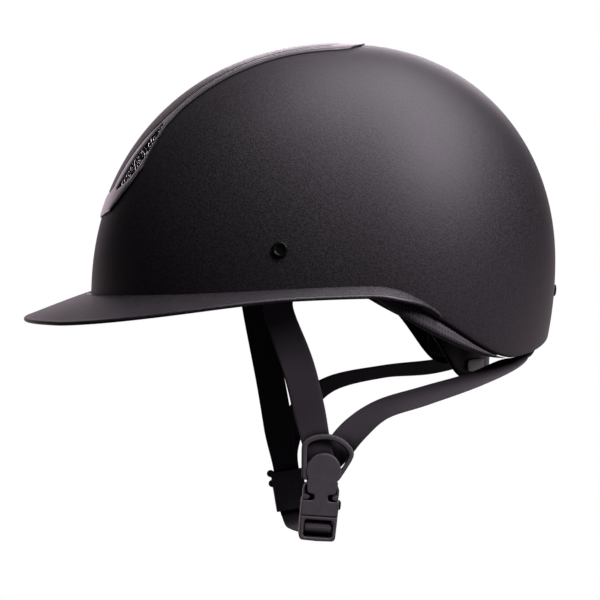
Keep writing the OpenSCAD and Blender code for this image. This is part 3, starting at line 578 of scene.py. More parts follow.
def rim_rows(outer, inner, low, turns):
    """A rounded edge between an outer and an inner wall."""
    a = np.arange(turns) * 360 / turns
    edge = low(a)
    half = (inner[0] - outer[0]) / 2
    rows = []
    for t in np.linspace(0, 180, RIM_STEPS):
        inset = np.array(outer) + half * (1 - cosd(t))
        rows.append(dome_at(a, edge + half * RIM_SQUASH * (1 - sind(t)), inset))
    return rows


def shell_rows(outer, inner, low, turns, outer_rows, inner_rows):
    soft = (inner[0] - outer[0]) / 2 * RIM_SQUASH

    def lifted(a):
        return low(a) + soft

    return (dome_rows(outer, lifted, outer_rows, turns)[::-1] + rim_rows(outer, inner, low, turns)
            + dome_rows(inner, lifted, inner_rows, turns))


shell = skin("shell", shell_rows((0, 0, 0), (SHELL_WALL,) * 3, rim_at, SHELL_TURNS,
                                 SHELL_RINGS, SHELL_INNER_RINGS), ring=True)


def vent_tool(side):
    angles = np.linspace(VENT_LOW + TOOL_ENDS[0], VENT_HIGH - TOOL_ENDS[1], TOOL_STEPS)
    inner = read(VENT_INNER, angles) + TOOL_SIDES[0]
    outer = read(VENT_INNER, angles) + read(VENT_WIDTH, angles) - TOOL_SIDES[1]
    outer = np.maximum(outer, inner + TOOL_LEAST)
    corners = ((inner, TOOL_OUT), (outer, TOOL_OUT), (outer, TOOL_IN), (inner, TOOL_IN))
    rows = np.stack([trim_at(angles, side * y, height) for y, height in corners], 1)
    return skin("vent_tool", rows, ring=True, cap=True)


cut_away(shell, [vent_tool(-1), vent_tool(1)])
settle(shell, "helmet", lacquer, "shell_paint", "outer_shell")

# %% [markdown]
# ## Peak
# The peak is a separate moulding that wraps the front and runs out behind the ears. Its section
# changes all the way round: long and drooping in front, a narrow flange at the sides. Each section
# goes over the top, round a soft edge and back underneath, and a skin joins them. The tail runs out
# to a thinner edge than in the frame.

# %% Sections of the peak
PEAK_FRONT, PEAK_SIDE, PEAK_EDGE, PEAK_END, PEAK_TAIL = 39.5, 9.5, 2.4, 67, 0.9
ROOT_FRONT, ROOT_SIDE, DROP_FRONT, DROP_SIDE = 0.6, 9.4, 16.8, 6.6
EAR_TURN, EAR_FALL, TAIL_TAPER = 88, 0.036, 15
OVER_SPAN, DROP_SPAN = (95, 180), (108, 165)
PEAK_HANG, PEAK_ARCH, PEAK_SAG = 12, 1.12, 0.03


def peak_root(a):
    front = ROOT_FRONT + (ROOT_SIDE - ROOT_FRONT) * (1 - smooth(a, EAR_TURN - 4, 180))
    return np.where(a >= EAR_TURN, front, ROOT_SIDE - EAR_FALL * (EAR_TURN - a) ** 2)


def peak_over(a):
    share = smooth(a, PEAK_END - 3, PEAK_END + 17)
    full = PEAK_SIDE + (PEAK_FRONT - PEAK_SIDE) * smooth(a, *OVER_SPAN)
    return PEAK_TAIL + share * (full - PEAK_TAIL)


def peak_drop(a):
    tail = 1 - smooth(a, PEAK_END, PEAK_END + TAIL_TAPER)
    side = DROP_SIDE - (DROP_SIDE - PEAK_EDGE) * tail
    return side + (DROP_FRONT - DROP_SIDE) * smooth(a, *DROP_SPAN)


def peak_rows(steps=260):
    angle = np.linspace(PEAK_END, 360 - PEAK_END, steps)
    a = fold(angle)
    low = rim_at(a)
    top = np.maximum(peak_root(a), low + PEAK_EDGE)
    foot = np.maximum(top - peak_drop(a), low - PEAK_HANG)
    foot = np.minimum(foot, top - PEAK_EDGE - 0.2)
    start = dome_r(a, top) + GAP
    out = dome_r(a, (top + low) / 2) + GAP + peak_over(a)
    reach, fall = out - start, foot + PEAK_EDGE - top
    half = PEAK_EDGE / 2
    soft = np.minimum(half, reach * 0.4)
    profile = []
    for t in np.linspace(0, 1, 15):
        bend = 0.5 * t + 0.5 * t ** PEAK_ARCH
        profile.append((start + (reach - soft) * t, top + fall * bend))
    for t in np.linspace(70, -90, 8):
        profile.append((out - soft + soft * cosd(t), foot + half + half * sind(t)))
    under = dome_r(a, low) + GAP
    for t in np.linspace(0, 1, 12)[1:]:
        sag = PEAK_SAG * np.sin(math.pi * t) * (out - under)
        profile.append((out - soft + (under - out + soft) * t, foot + (low - foot) * t + sag))
    for t in (0.33, 0.66):
        z = low + (top - low) * t
        profile.append((dome_r(a, z) + GAP, z))
    return np.stack([out_at(angle, r, z) for r, z in profile], 1)


peak = skin("peak", peak_rows(), ring=True, cap=True)
settle(peak, "helmet", peak_lacquer, "shell_paint", "peak")

# %% [markdown]
# ## Satin chrome
# The trim is plated plastic. The plating is a satin chrome, a metal to the eye, with a faint
# waviness from the moulding below. Towards the crown its colour is painted darker, a painted shade
# that holds back the lamps' glare there. Only the raised face is metal. The sides of the rails are
# painted near black as a painted shade line, which draws a dark line round each rail. How far a
# point rises over the shell is stored on the mesh and tells the two apart.

# %% Finish for the trim
WAVE_MM, SHADE_LINE_RISE_MM, CROWN_SHADE_LEVEL_MM = 9, (0.85, 1.0), (85, 140)

chrome, tree, shader = start_material("satin_chrome_plating")
place = coordinates(tree)
wave = noise(tree, place, WAVE_MM)
rise = add(tree, "ShaderNodeAttribute", attribute_name="rise").outputs["Fac"]
plated_vs_shade_line = remap(tree, rise, SHADE_LINE_RISE_MM)
level = add(tree, "ShaderNodeSeparateXYZ", {0: place}).outputs["Z"]
# Painted shade: towards the crown the plating's colour darkens to grey.
crown_shade = remap(tree, level, [z * MM for z in CROWN_SHADE_LEVEL_MM])
pale = blend_colours(tree, wave, "#e6dde6", "#f4edf4")
pale = blend_colours(tree, crown_shade, pale, "#666066")
# Painted shade line: below the raised face, the trim's sides are near black and not metal.
feed(tree, shader, metallic=plated_vs_shade_line, roughness=remap(tree, wave, onto=(0.36, 0.46)),
     base_color=blend_colours(tree, plated_vs_shade_line, "#060506", pale))
emboss(tree, shader, wave, strength=0.06, depth_mm=0.3)
print("finish made:", chrome.name)

# %% [markdown]
# ## Trim frame
# The frame is a plate with holes: a grid of points over the dome, raised to a height, with the
# cells of the vents and the panel left out. A point's height depends on how far it is from the
# nearest edge, which rounds every edge of the plate in the same way, as a moulding has it.

# %% Plate with open cells
def plate(name, top, under, keep):
    rows, columns = top.shape[:2]
    points = np.concatenate([top.reshape(-1, 3), under.reshape(-1, 3)])
    half = rows * columns
    faces = []
    for i in range(rows - 1):
        for j in range(columns - 1):
            if not keep[i, j]:
                continue
            a, d = i * columns + j, (i + 1) * columns + j
            b, c = a + 1, d + 1
            faces.append((a, b, c, d))
            faces.append((a + half, d + half, c + half, b + half))
            for di, dj, p, q in ((-1, 0, a, b), (1, 0, c, d), (0, -1, d, a), (0, 1, b, c)):
                k, n = i + di, j + dj
                inside = 0 <= k < rows - 1 and 0 <= n < columns - 1 and keep[k, n]
                if not inside:
                    faces.append((p, p + half, q + half, q))
    return piece_from(name, points, faces, PLATE_MERGE_MM)


PLATE_MERGE_MM, PLATE_LIFT = 0.002, 0.1
SOFT_EDGE, EDGE_SHARE, RAIL_LEAST = 2.3, 0.2, 0.5
GROOVE, GROOVE_HALF, GROOVE_END = 0.5, 0.35, (82, 87)
RAIL_CELLS, PANEL_COLUMNS = 8, 13
MM_PER_DEGREE = math.radians(150)
trim_angles = np.unique(np.round(np.concatenate([
    np.linspace(TRIM_LOW, 26, 40), np.linspace(26, 84, 108), np.linspace(84, TRIM_HIGH, 44),
    [VENT_LOW, VENT_HIGH, PANEL_LOW, PANEL_HIGH]]), 4))


def rail_lines(a):
    panel = read(PANEL_EDGE, a)
    inner = np.maximum(read(VENT_INNER, a), panel + RAIL_LEAST)
    outer = inner + read(VENT_WIDTH, a)
    edge = np.maximum(read(RAIL_OUTER, a), outer + RAIL_LEAST)
    return panel, inner, outer, edge


def half_columns(a):
    panel, inner, outer, edge = rail_lines(a)
    share = (1 - np.cos(np.linspace(0, math.pi, RAIL_CELLS + 1))) / 2
    return np.concatenate([panel + (inner - panel) * share, (inner + (outer - inner) * share)[1:],
                           (outer + (edge - outer) * share)[1:]])


def rail_height(a, y):
    """Full height away from the edges, falling in a round to a fifth of it at an edge."""
    panel, inner, outer, edge = rail_lines(a)
    middle = (inner + outer) / 2
    y = np.abs(y)
    near = np.minimum(edge - y, np.minimum(a - TRIM_LOW, TRIM_HIGH - a) * MM_PER_DEGREE)
    if PANEL_LOW < a < PANEL_HIGH:
        near = np.minimum(near, np.maximum(0, y - panel))
    else:
        gap = (PANEL_LOW - a) if a <= PANEL_LOW else (a - PANEL_HIGH)
        near = np.minimum(near, np.maximum(gap * MM_PER_DEGREE, y - panel))
    if VENT_LOW < a < VENT_HIGH:
        near = np.minimum(near, np.where(y > middle, y - outer, inner - y).clip(0))
    share = np.clip(near / SOFT_EDGE, 0, 1)
    rounding = EDGE_SHARE + (1 - EDGE_SHARE) * np.sqrt(1 - (1 - share) ** 2)
    line = GROOVE * np.exp(-((y - middle) / GROOVE_HALF) ** 2)
    line = line * smooth(a, VENT_HIGH + 0.5, VENT_HIGH + 4) * (1 - smooth(a, *GROOVE_END))
    return np.maximum(GAP + PLATE_LIFT, RAIL_HEIGHT * rounding - line)


grid_y, grid_h = [], []
for a in trim_angles:
    half = half_columns(a)
    panel = rail_lines(a)[0]
    y = np.concatenate([-half[::-1], np.linspace(-panel, panel, PANEL_COLUMNS)[1:-1], half])
    grid_y.append(y)
    grid_h.append(rail_height(a, y))
grid_y, grid_h = np.array(grid_y), np.array(grid_h)

# Counted from either edge, the lanes of cells are outer rail, vent, inner rail and panel.
cells = np.arange(grid_y.shape[1] - 1)
lane = np.minimum(cells, cells[::-1]) // RAIL_CELLS
keep = np.ones((len(trim_angles) - 1, len(cells)), bool)
for i, a in enumerate((trim_angles[:-1] + trim_angles[1:]) / 2):
    if PANEL_LOW < a < PANEL_HIGH:
        keep[i, lane >= 3] = False
    if VENT_LOW < a < VENT_HIGH:
        keep[i, lane == 1] = False
trim = plate("trim_frame", trim_at(trim_angles[:, None], grid_y, grid_h),
             trim_at(trim_angles[:, None], grid_y, GAP), keep)
spots = read_points(trim.data) / MM
height = (1 - 1 / dome_share(spots)) * np.linalg.norm(spots - [CROWN_BACK, 0, 0], axis=1)
trim.data.attributes.new("rise", "FLOAT", "POINT").data.foreach_set("value", height)
print("the frame rises", height.min().round(2), "to", height.max().round(2), "mm over the shell")
settle(trim, "helmet", chrome, "gloss_trim", "trim_frame")

# %% [markdown]
# ## Panel between the rails
# The panel is lacquered like the shell and sits a little lower than the rails. It is the same kind
# of plate with no open cells, and its edges are rounded over the last millimetre.

# %% Make the panel
PANEL_START, PANEL_STOP, PANEL_ROUND, ACROSS_STEPS = 22.9, 88.8, 1.2, 33

panel_angles = np.unique(np.concatenate([
    np.linspace(PANEL_START, 25, 10), np.linspace(25, 85, 88), np.linspace(85, PANEL_STOP, 16)]))
across = np.sin(np.linspace(-math.pi / 2, math.pi / 2, ACROSS_STEPS))
panel_half = np.maximum(1, read(PANEL_EDGE, panel_angles) - 2 * GAP)
panel_y = panel_half[:, None] * across[None, :]
from_ends = np.minimum(panel_angles - PANEL_START, PANEL_STOP - panel_angles) * MM_PER_DEGREE
near = np.minimum(panel_half[:, None] - np.abs(panel_y), from_ends[:, None])
rounding = np.sqrt(1 - (1 - np.clip(near / PANEL_ROUND, 0, 1)) ** 2)
panel_h = GAP + PLATE_LIFT + (PANEL_HEIGHT - GAP - PLATE_LIFT) * rounding
panel = plate("crown_panel", trim_at(panel_angles[:, None], panel_y, panel_h),
              trim_at(panel_angles[:, None], panel_y, GAP),
              np.ones((len(panel_angles) - 1, ACROSS_STEPS - 1), bool))
settle(panel, "helmet", panel_lacquer, "shell_paint", "crown_panel")

# %% [markdown]
# ## Vent mesh
# Behind each vent is a woven screen of fine blackened steel wire. Bright spots are painted into the
# wire's metal colour as painted glints. The real wires are under a millimetre apart. They are drawn
# further apart here, so that the weave shows. A lattice of crossing lines is laid out over the vent
# first. A node tree then turns every line into a round wire, so the wire's thickness is one named
# input, and the result becomes a plain mesh.

# %% A node tree that turns lines into wire
WIRE_MM, WIRE_PITCH_MM, WIRE_SIDES = 0.3, 2.3, 5
WIRE_LEAN, WIRE_STEP, WIRE_BOB, WIRE_LIFT = 0.9, 0.6, 0.12, 0.5
LENS_MIDDLE, LENS_REACH, LENS_BEYOND, LENS_RIM = 33, 12, 20, 0.2
WIRE_MERGE_MM, SOLID_MERGE_MM = 0.02, 0.0001


def start_tree(name, inputs):
    """A geometry node tree with named inputs, its input node and the inputs' identifiers."""
    tree = bpy.data.node_groups.new(name, "GeometryNodeTree")
    sockets = tree.interface.new_socket
    sockets("Geometry", in_out="INPUT", socket_type="NodeSocketGeometry")
    names = {label: sockets(label, in_out="INPUT", socket_type="NodeSocket" + kind).identifier
             for label, kind in inputs.items()}
    sockets("Geometry", in_out="OUTPUT", socket_type="NodeSocketGeometry")
    return tree, add(tree, "NodeGroupInput").outputs, names


def close_tree(tree, source, geometry):
    """What leaves the tree is real faces with the finish on them."""
    solid = add(tree, "GeometryNodeRealizeInstances", {"Geometry": geometry})
    coat = add(tree, "GeometryNodeSetMaterial", {
        "Geometry": solid.outputs[0], "Material": source["Finish"]})
    add(tree, "NodeGroupOutput", {"Geometry": coat.outputs[0]})


def run_tree(piece, tree, names, values):
    tool = piece.modifiers.new(tree.name, "NODES")
    tool.node_group = tree
    for label, value in values.items():
        tool[names[label]] = value
    return freeze(piece)


def wire_tree():
    tree, source, names = start_tree("lines to wire", {
        "Wire radius": "Float", "Finish": "Material"})
    lines = add(tree, "GeometryNodeMeshToCurve", {"Mesh": source["Geometry"]})
    ring = add(tree, "GeometryNodeCurvePrimitiveCircle", {
        "Resolution": WIRE_SIDES, "Radius": source["Wire radius"]})
    wire = add(tree, "GeometryNodeCurveToMesh", {
        "Curve": lines.outputs[0], "Profile Curve": ring.outputs[0]})
    close_tree(tree, source, wire.outputs[0])
    return tree, names


# Painted glints: the bright spots of this speckle on the blackened wire stand in for caught light.
wire_with_painted_glints = speckled("blackened_steel_wire_painted_glints", 2.2, "#0c0b0c", "#f6f0f6", detail=0.0,
                      span=(0.46, 0.6), metallic=1.0, roughness=0.35)


def lattice(side):
    """Crossing slanted lines over a lens-shaped vent: points and edges."""
    angles = np.linspace(VENT_LOW + 0.4, VENT_HIGH - 0.4, 400)
    middle = trim_at(angles, LENS_MIDDLE)
    along = lengths_along(middle)
    points, edges = [], []
    for lean in (-1, 1):
        for start in np.arange(-LENS_BEYOND, along[-1] + LENS_BEYOND, WIRE_PITCH_MM):
            row = []
            for t in np.arange(0, LENS_REACH, WIRE_STEP):
                s = start + lean * t * WIRE_LEAN
                if not 0 < s < along[-1]:
                    row.append(None)
                    continue
                a = np.interp(s, along, angles)
                width = float(read(VENT_WIDTH, a)) - 2 * LENS_RIM
                bob = WIRE_BOB * math.sin(math.pi * (t + lean * 0.5) / WIRE_PITCH_MM)
                spot = (a, float(read(VENT_INNER, a)) + LENS_RIM + t, WIRE_LIFT + bob)
                row.append(spot if t <= width else None)
            for first, second in zip(row, row[1:]):
                if first and second:
                    edges.append((len(points), len(points) + 1))
                    points += [first, second]
    points = np.array(points)
    return trim_at(points[:, 0], side * points[:, 1], points[:, 2]), edges


def make_screen(name):
    left, edges = lattice(-1)
    far, more = lattice(1)
    mesh = bpy.data.meshes.new(name)
    edges += [(a + len(left), b + len(left)) for a, b in more]
    mesh.from_pydata((np.concatenate([left, far]) * MM).tolist(), edges, [])
    finish_mesh(mesh, WIRE_MERGE_MM)
    screen = run_tree(new_piece(name, mesh), *wire_tree(), {
        "Wire radius": WIRE_MM / 2 * MM, "Finish": wire_with_painted_glints})
    finish_mesh(screen.data, SOLID_MERGE_MM)
    return screen


screen = make_screen("vent_screen")
settle(screen, "helmet", wire_with_painted_glints, "black_mesh", "vent_mesh")

# %% [markdown]
# ## Rivets
# A rivet on each side holds the front straps, and one at the back holds the rear straps. Their
# heads are dished and gloss black. The rear head stands higher than in the frame, so that it shows
# past the shell from the side. A rivet is a profile turned round its own axis and stood on the
# dome.

# %% Gloss black and the rivets
gloss_black = speckled("gloss_black_nylon", 0.7, "#060607", "#141315", detail=3.0,
                       rough=(0.18, 0.34), ior=1.5, specular_ior_level=0.12)

RIVET_ANGLE, RIVET_LEVEL, REAR_RIVET_LEVEL = 114.2, 29.3, 0.6
SIDE_HEAD, REAR_HEAD, SHANK_R, REAR_RISE, RIVET_TURNS = 9.0, 7.8, 2.0, 2.2, 48
STRAP_W, STRAP_T = 16.0, 1.6
WEB_GAP = 1.2
LAYER_STEP = STRAP_T + 2 * GAP
SHANK_SIDE = SHELL_WALL + 2 * WEB_GAP + STRAP_T
SHANK_REAR = SHANK_SIDE + LAYER_STEP


def dome_frame(a, z):
    """Three columns, down the dome, round it and straight out of it, and the place itself."""
    out = dome_normal(a, z)
    tilt, turn = np.degrees(np.arccos(out[2])), np.degrees(np.arctan2(out[1], out[0]))
    down = np.array([cosd(tilt) * cosd(turn), cosd(tilt) * sind(turn), -sind(tilt)])
    return np.stack([down, np.cross(out, down), out], 1), dome_at(a, z)


def ring_on_dome(a, z, radius, height, turns):
    axes, place = dome_frame(a, z)
    turn = np.arange(turns) * 360 / turns
    ring = np.stack([radius * cosd(turn), radius * sind(turn), np.full(turns, height)], -1)
    return place + ring @ axes.T


def rivet(name, a, z, head, shank, rise=1.0):
    """A head, a shank and a washer. The rise stretches the head alone."""
    r = head / 2
    face = [(0, 0.62), (r * 0.3, 0.64), (r * 0.5, 0.74), (r * 0.6, 1.05), (r * 0.68, 1.28),
            (r * 0.78, 1.38), (r * 0.88, 1.28), (r * 0.96, 1.0), (r, 0.6), (r, 0.1), (r * 0.97, 0)]
    foot = [(SHANK_R, 0), (SHANK_R, -shank), (r * 0.97, -shank), (r, -shank - 0.2),
            (r * 0.96, -shank - 0.9), (0, -shank - 1.0)]
    profile = [(p, h * rise) for p, h in face] + foot
    rows = [ring_on_dome(a, z, p, h + GAP, RIVET_TURNS) for p, h in profile]
    return skin(name, rows, ring=True)


rivets = joined("side_rivets", [
    mesh_of(rivet("rivet", side * RIVET_ANGLE, RIVET_LEVEL, SIDE_HEAD, SHANK_SIDE + GAP))
    for side in (-1, 1)])
settle(rivets, "helmet", gloss_black, "black_gloss", "side_rivets")
rear_rivet = rivet("rear_rivet", 0.0, REAR_RIVET_LEVEL, REAR_HEAD, SHANK_REAR + GAP, REAR_RISE)
settle(rear_rivet, "helmet", gloss_black, "black_gloss", "rear_rivet")

# %% [markdown]
# ## Foam liner
# Inside the shell is a thick bowl of black expanded foam that takes the blow of a fall. It is
# moulded from beads that press flat against each other, so the finish is a net of bead borders with
# a soft sparkle. Channels for the webbing and pockets for the rivets are cut out of the smooth
# bowl.

# %% Bead foam
BEAD_MM, BORDER_SHARE = 3.5, 0.12

bead_foam, tree, shader = start_material(
    "black_expanded_polystyrene", roughness=0.75, ior=1.45, specular_ior_level=0.25)
bead = add(tree, "ShaderNodeTexVoronoi", {
    "Vector": coordinates(tree), "Scale": 1 / (BEAD_MM * MM)}, feature="DISTANCE_TO_EDGE")
border = remap(tree, bead.outputs[0], (0.0, BORDER_SHARE))
feed(tree, shader, base_color=blend_colours(tree, border, "#141315", "#2a282b"))
emboss(tree, shader, border, strength=0.5, depth_mm=0.3)
print("finish made:", bead_foam.name)

# %% Bowl with channels
FOAM_OUT = np.array([3.5, 3.5, 3.5])
FOAM_IN = FOAM_OUT + [23, 17, 24]
FOAM_TURNS, FOAM_RINGS = 192, 60
FRONT_HALF, REAR_HALF, REAR_SLANT = STRAP_W / 2 + 5, STRAP_W / 2 + 6, 56
FRONT_BOX = (-12, -FRONT_HALF, -10.5), (60, FRONT_HALF, 3)
REAR_BOX = (-24, -REAR_HALF, -16.5), (34, REAR_HALF, 3)
REAR_STEPS = (4, 21), (26, 1.5)
POCKET_R, POCKET_ROOM, POCKET_TURNS = 6.5, 4, 40


def box_on_dome(a, z, low, high, slant=0.0):
    """A box in the dome's own directions: down, round and out."""
    axes, place = dome_frame(a, z)
    (x0, y0, h0), (x1, y1, h1) = low, high
    x, y, h = np.array([(x, y, h) for h in (h0, h1)
                        for x, y in ((x0, y0), (x1, y0), (x1, y1), (x0, y1))], float).T
    turned = np.stack([x * cosd(slant) - y * sind(slant), x * sind(slant) + y * cosd(slant), h], 1)
    return piece_from("tool", place + turned @ axes.T, [
        (0, 1, 2, 3), (4, 5, 6, 7), (0, 1, 5, 4), (1, 2, 6, 5), (2, 3, 7, 6), (3, 0, 4, 7)])


def pocket_on_dome(a, z, depth):
    rows = [ring_on_dome(a, z, POCKET_R, h, POCKET_TURNS) for h in (-depth, 0)]
    return skin("tool", rows, ring=True, cap=True)


foam_rows = shell_rows(FOAM_OUT, FOAM_IN, rim_at, FOAM_TURNS, FOAM_RINGS, FOAM_RINGS)
foam = skin("foam_liner", foam_rows, ring=True)
tools = []
for side in (-1, 1):
    tools.append(box_on_dome(side * RIVET_ANGLE, RIVET_LEVEL, *FRONT_BOX))
    tools.append(pocket_on_dome(side * RIVET_ANGLE, RIVET_LEVEL, SHANK_SIDE + POCKET_ROOM))
    for angle, rise in REAR_STEPS:
        level = float(rim_at(angle)) + rise
        tools.append(box_on_dome(side * angle, level, *REAR_BOX, side * REAR_SLANT))
tools.append(pocket_on_dome(0.0, REAR_RIVET_LEVEL, SHANK_REAR + POCKET_ROOM))
cut_away(foam, tools)
settle(foam, "helmet", bead_foam, "foam", "eps_liner")

# %% [markdown]
# ## Lining cloth
# The band, the pads and the strip below the rim are covered in black spacer mesh: a knitted cloth
# with rows of small open cells. Each cell is a dark dimple in a slightly lighter knit. The real
# cells are about two millimetres apart, which is just wide enough to show. The strip below the rim
# is a greyer brushed knit with hardly any relief.

# %% Spacer mesh cloth
CELL_MM, KNIT_THREAD_MM, KNIT_FUZZ = 2.2, 0.5, 0.35


def knitted_cloth(name, dark, light, relief):
    cloth, tree, shader = start_material(
        name, roughness=0.92, sheen_weight=0.25, sheen_roughness=0.5, specular_ior_level=0.1)
    place = coordinates(tree, "UV")
    cell = add(tree, "ShaderNodeTexVoronoi", {
        "Vector": place, "Scale": 1 / (CELL_MM * MM), "Randomness": 0.15}, voronoi_dimensions="2D")
    knit = remap(tree, cell.outputs["Distance"], (0.15, 0.5))
    thread = noise(tree, place, KNIT_THREAD_MM)
    fuzz = maths(tree, "MULTIPLY_ADD", thread, KNIT_FUZZ, knit)
    feed(tree, shader, base_color=blend_colours(tree, fuzz, dark, light))
    emboss(tree, shader, fuzz, relief, depth_mm=0.5)
    return cloth


lining_cloth = knitted_cloth("black_spacer_mesh", "#19171a", "#423d43", 0.7)
strip_cloth = knitted_cloth("grey_brushed_knit", "#464047", "#675f68", 0.25)
print("finishes made:", lining_cloth.name, strip_cloth.name)

# %% [markdown]
# ## Sewn pads
# The headband, the crown pad and the nape pad are foam sewn into cloth. Each starts thinner than
# the finished pad. The side that rests on something and the sewn lines are held, and Blender's
# cloth solver blows up the rest with a little pressure, so the cloth swells between its seams by
# itself. How far a point may move is capped, so a pad keeps to its own room.

# %% Let a pad swell between its seams
PRESSURE, CLOTH_MASS, SWELL_FRAMES = 6.0, 0.1, 20
ROUND_HEAD_MM = 90


def swell(piece, held, cap):
    start = read_points(piece.data)
    piece.vertex_groups.new(name="held").add([int(i) for i in held], 1.0, "REPLACE")
    cloth = piece.modifiers.new("cloth", "CLOTH")
    cloth.settings.vertex_group_mass = "held"
    cloth.settings.use_pressure = True
    cloth.settings.uniform_pressure_force = PRESSURE
    cloth.settings.effector_weights.gravity = 0
    cloth.settings.mass = CLOTH_MASS
    cloth.point_cache.frame_start, cloth.point_cache.frame_end = 1, SWELL_FRAMES
    for frame_number in range(1, SWELL_FRAMES + 1):
        scene.frame_set(frame_number)
    solved = piece.evaluated_get(bpy.context.evaluated_depsgraph_get())
    move = read_points(solved.data) - start
    piece.modifiers.clear()
    piece.vertex_groups.clear()
    scene.frame_set(1)
    length = np.linalg.norm(move, axis=1, keepdims=True)
    move *= np.minimum(1, cap * MM / np.maximum(length, 1e-9))
    write_points(piece.data, start + move)
    most = float(np.linalg.norm(move, axis=1).max()) / MM
    print(piece.name, "swells by up to", round(most, 2), "mm")


def wrap_cloth(piece, flat=False):
    """Lays the cloth's pattern on a pad: round the head and up, or straight down onto the crown."""
    points = read_points(piece.data)
    layer = piece.data.uv_layers.new(name="cloth")
    for polygon in piece.data.polygons:
        corners = points[list(polygon.vertices)]
        if flat:
            uv = corners[:, :2]
        else:
            turn = np.unwrap(np.arctan2(corners[:, 1], corners[:, 0] - CROWN_BACK * MM))
            uv = np.stack([turn * ROUND_HEAD_MM * MM, corners[:, 2]], 1)
        for k, value in zip(polygon.loop_indices, uv):
            layer.data[k].uv = value


def round_off(piece):
    tool = piece.modifiers.new("round", "SUBSURF")
    tool.levels = tool.render_levels = 1
    freeze(piece)
    shade_smooth(piece.data)


def finish_pad(pad, node, flat=False):
    wrap_cloth(pad, flat)
    round_off(pad)
    settle(pad, "helmet", lining_cloth, "lining", node)


# %% [markdown]
# ## Headband
# The band runs all round inside the foam, higher over the brow. It is a ring of sections: a flat
# back against the foam and a front that is quilted by upright seams.

# %% Ring of the headband
SOFT_GAP, FINE_MERGE_MM = 0.7, 0.0001
BAND_OUT = FOAM_IN + [SOFT_GAP, SOFT_GAP, 0]
BAND_LOW, BAND_HEIGHT, BROW_LIFT, BROW_SPAN = 6, 32, 4, (120, 180)
BAND_STEPS, SEAM_EVERY, SEAM_DEPTH, BAND_FACE = 180, 12, 1.5, 3.9


def band_middle(angle):
    return BAND_LOW + BAND_HEIGHT / 2 + BROW_LIFT * smooth(fold(angle), *BROW_SPAN)


def on_band(angle, depth, h):
    z = band_middle(angle) + h
    return out_at(angle, dome_r(angle, z, BAND_OUT) - depth, z)


def band_rows():
    angle = np.arange(BAND_STEPS) * 360 / BAND_STEPS
    half = BAND_HEIGHT / 2 - 0.8
    section = ([(0.6, h) for h in np.linspace(-half + 1, half - 1, 9)]
               + [(1.6, half), (3.2, half - 0.6)]
               + [(BAND_FACE, h) for h in np.linspace(half - 2.4, 2.4 - half, 11)]
               + [(3.2, 0.6 - half), (1.6, -half)])
    seam = np.arange(BAND_STEPS) % SEAM_EVERY == 0
    rows = [on_band(angle, np.where(seam & (depth > 2), depth - SEAM_DEPTH, depth), h)
            for depth, h in section]
    held = [i * len(section) + j for i in range(BAND_STEPS)
            for j, (depth, h) in enumerate(section) if seam[i] or depth < BAND_FACE]
    return np.stack(rows, 1), held


rows, held = band_rows()
band = skin("headband", rows, ring=True, loop=True, merge=FINE_MERGE_MM)
swell(band, held, cap=2.6)
finish_pad(band, "headband")

# %% [markdown]
# ## Crown pad
# A shallow quilted bowl lies under the top of the foam. Rings and spokes of stitching hold it down,
# and the fields between them swell towards the head.

# %% Bowl of the crown pad
PAD_OUT = FOAM_IN + SOFT_GAP
PAD_LEVEL, PAD_THICK, PAD_ROOM = 92.0, 6.0, 0.4
PAD_TURNS, PAD_RINGS, SPOKE_EVERY, SPOKE_END, SEWN_RINGS = 96, 20, 16, 0.94, (0, 9)
SEWN_SHARE, FIELD_SHARE = 0.25, 0.55


def crown_rows():
    angle = np.arange(PAD_TURNS) * 360 / PAD_TURNS
    spoke = np.arange(PAD_TURNS) % SPOKE_EVERY == 0
    low = PAD_LEVEL + PAD_ROOM
    top_out = CROWN_HEIGHT - PAD_OUT[2]
    top_in = top_out - PAD_THICK * FIELD_SHARE
    outer, inner, held = [], [], []
    for k, share in enumerate(np.linspace(0, 1, PAD_RINGS)):
        rise = sind(90 * share) ** (2 / dome_power(angle))
        outer.append(dome_at(angle, low + (top_out - low) * rise, PAD_OUT + PAD_ROOM))
        sewn = (spoke & (share < SPOKE_END)) | (k in SEWN_RINGS)
        level = low + (top_in - low) * rise
        tight, full = (dome_at(angle, level, PAD_OUT + PAD_THICK * part)
                       for part in (SEWN_SHARE, FIELD_SHARE))
        inner.append(np.where(sewn[:, None], tight, full))
        held.append(sewn)
    held = np.concatenate([np.ones((PAD_RINGS, PAD_TURNS), bool), held])
    return outer[::-1] + inner, np.flatnonzero(held)


rows, held = crown_rows()
crown_pad = skin("crown_pad", rows, ring=True, merge=0.0)
swell(crown_pad, held, cap=2.4)
finish_mesh(crown_pad.data)
finish_pad(crown_pad, "crown_pad", flat=True)

# %% [markdown]
# ## Strip below the rim
# Behind each ear the lining comes round the edge of the foam and shows as a narrow padded strip
# below the shell. Its section is a soft round that is fullest near the ear and runs out to the
# nape, where it is thinner than in the frame.

# %% Strip on each side
STRIP_REAR, STRIP_FRONT, STRIP_HANG, STRIP_LEAST = 42, 86, 9, 0.5
STRIP_SKEW, STRIP_INSET, STRIP_HALF, STRIP_GIRTH = 1.7, 1.2, 4.5, 24
STRIP_STEPS, STRIP_AROUND = 90, 28


def squared(value, power):
    """Keeps the sign and bends the size, which turns a circle into a rounded box."""
    return np.sign(value) * np.abs(value) ** power


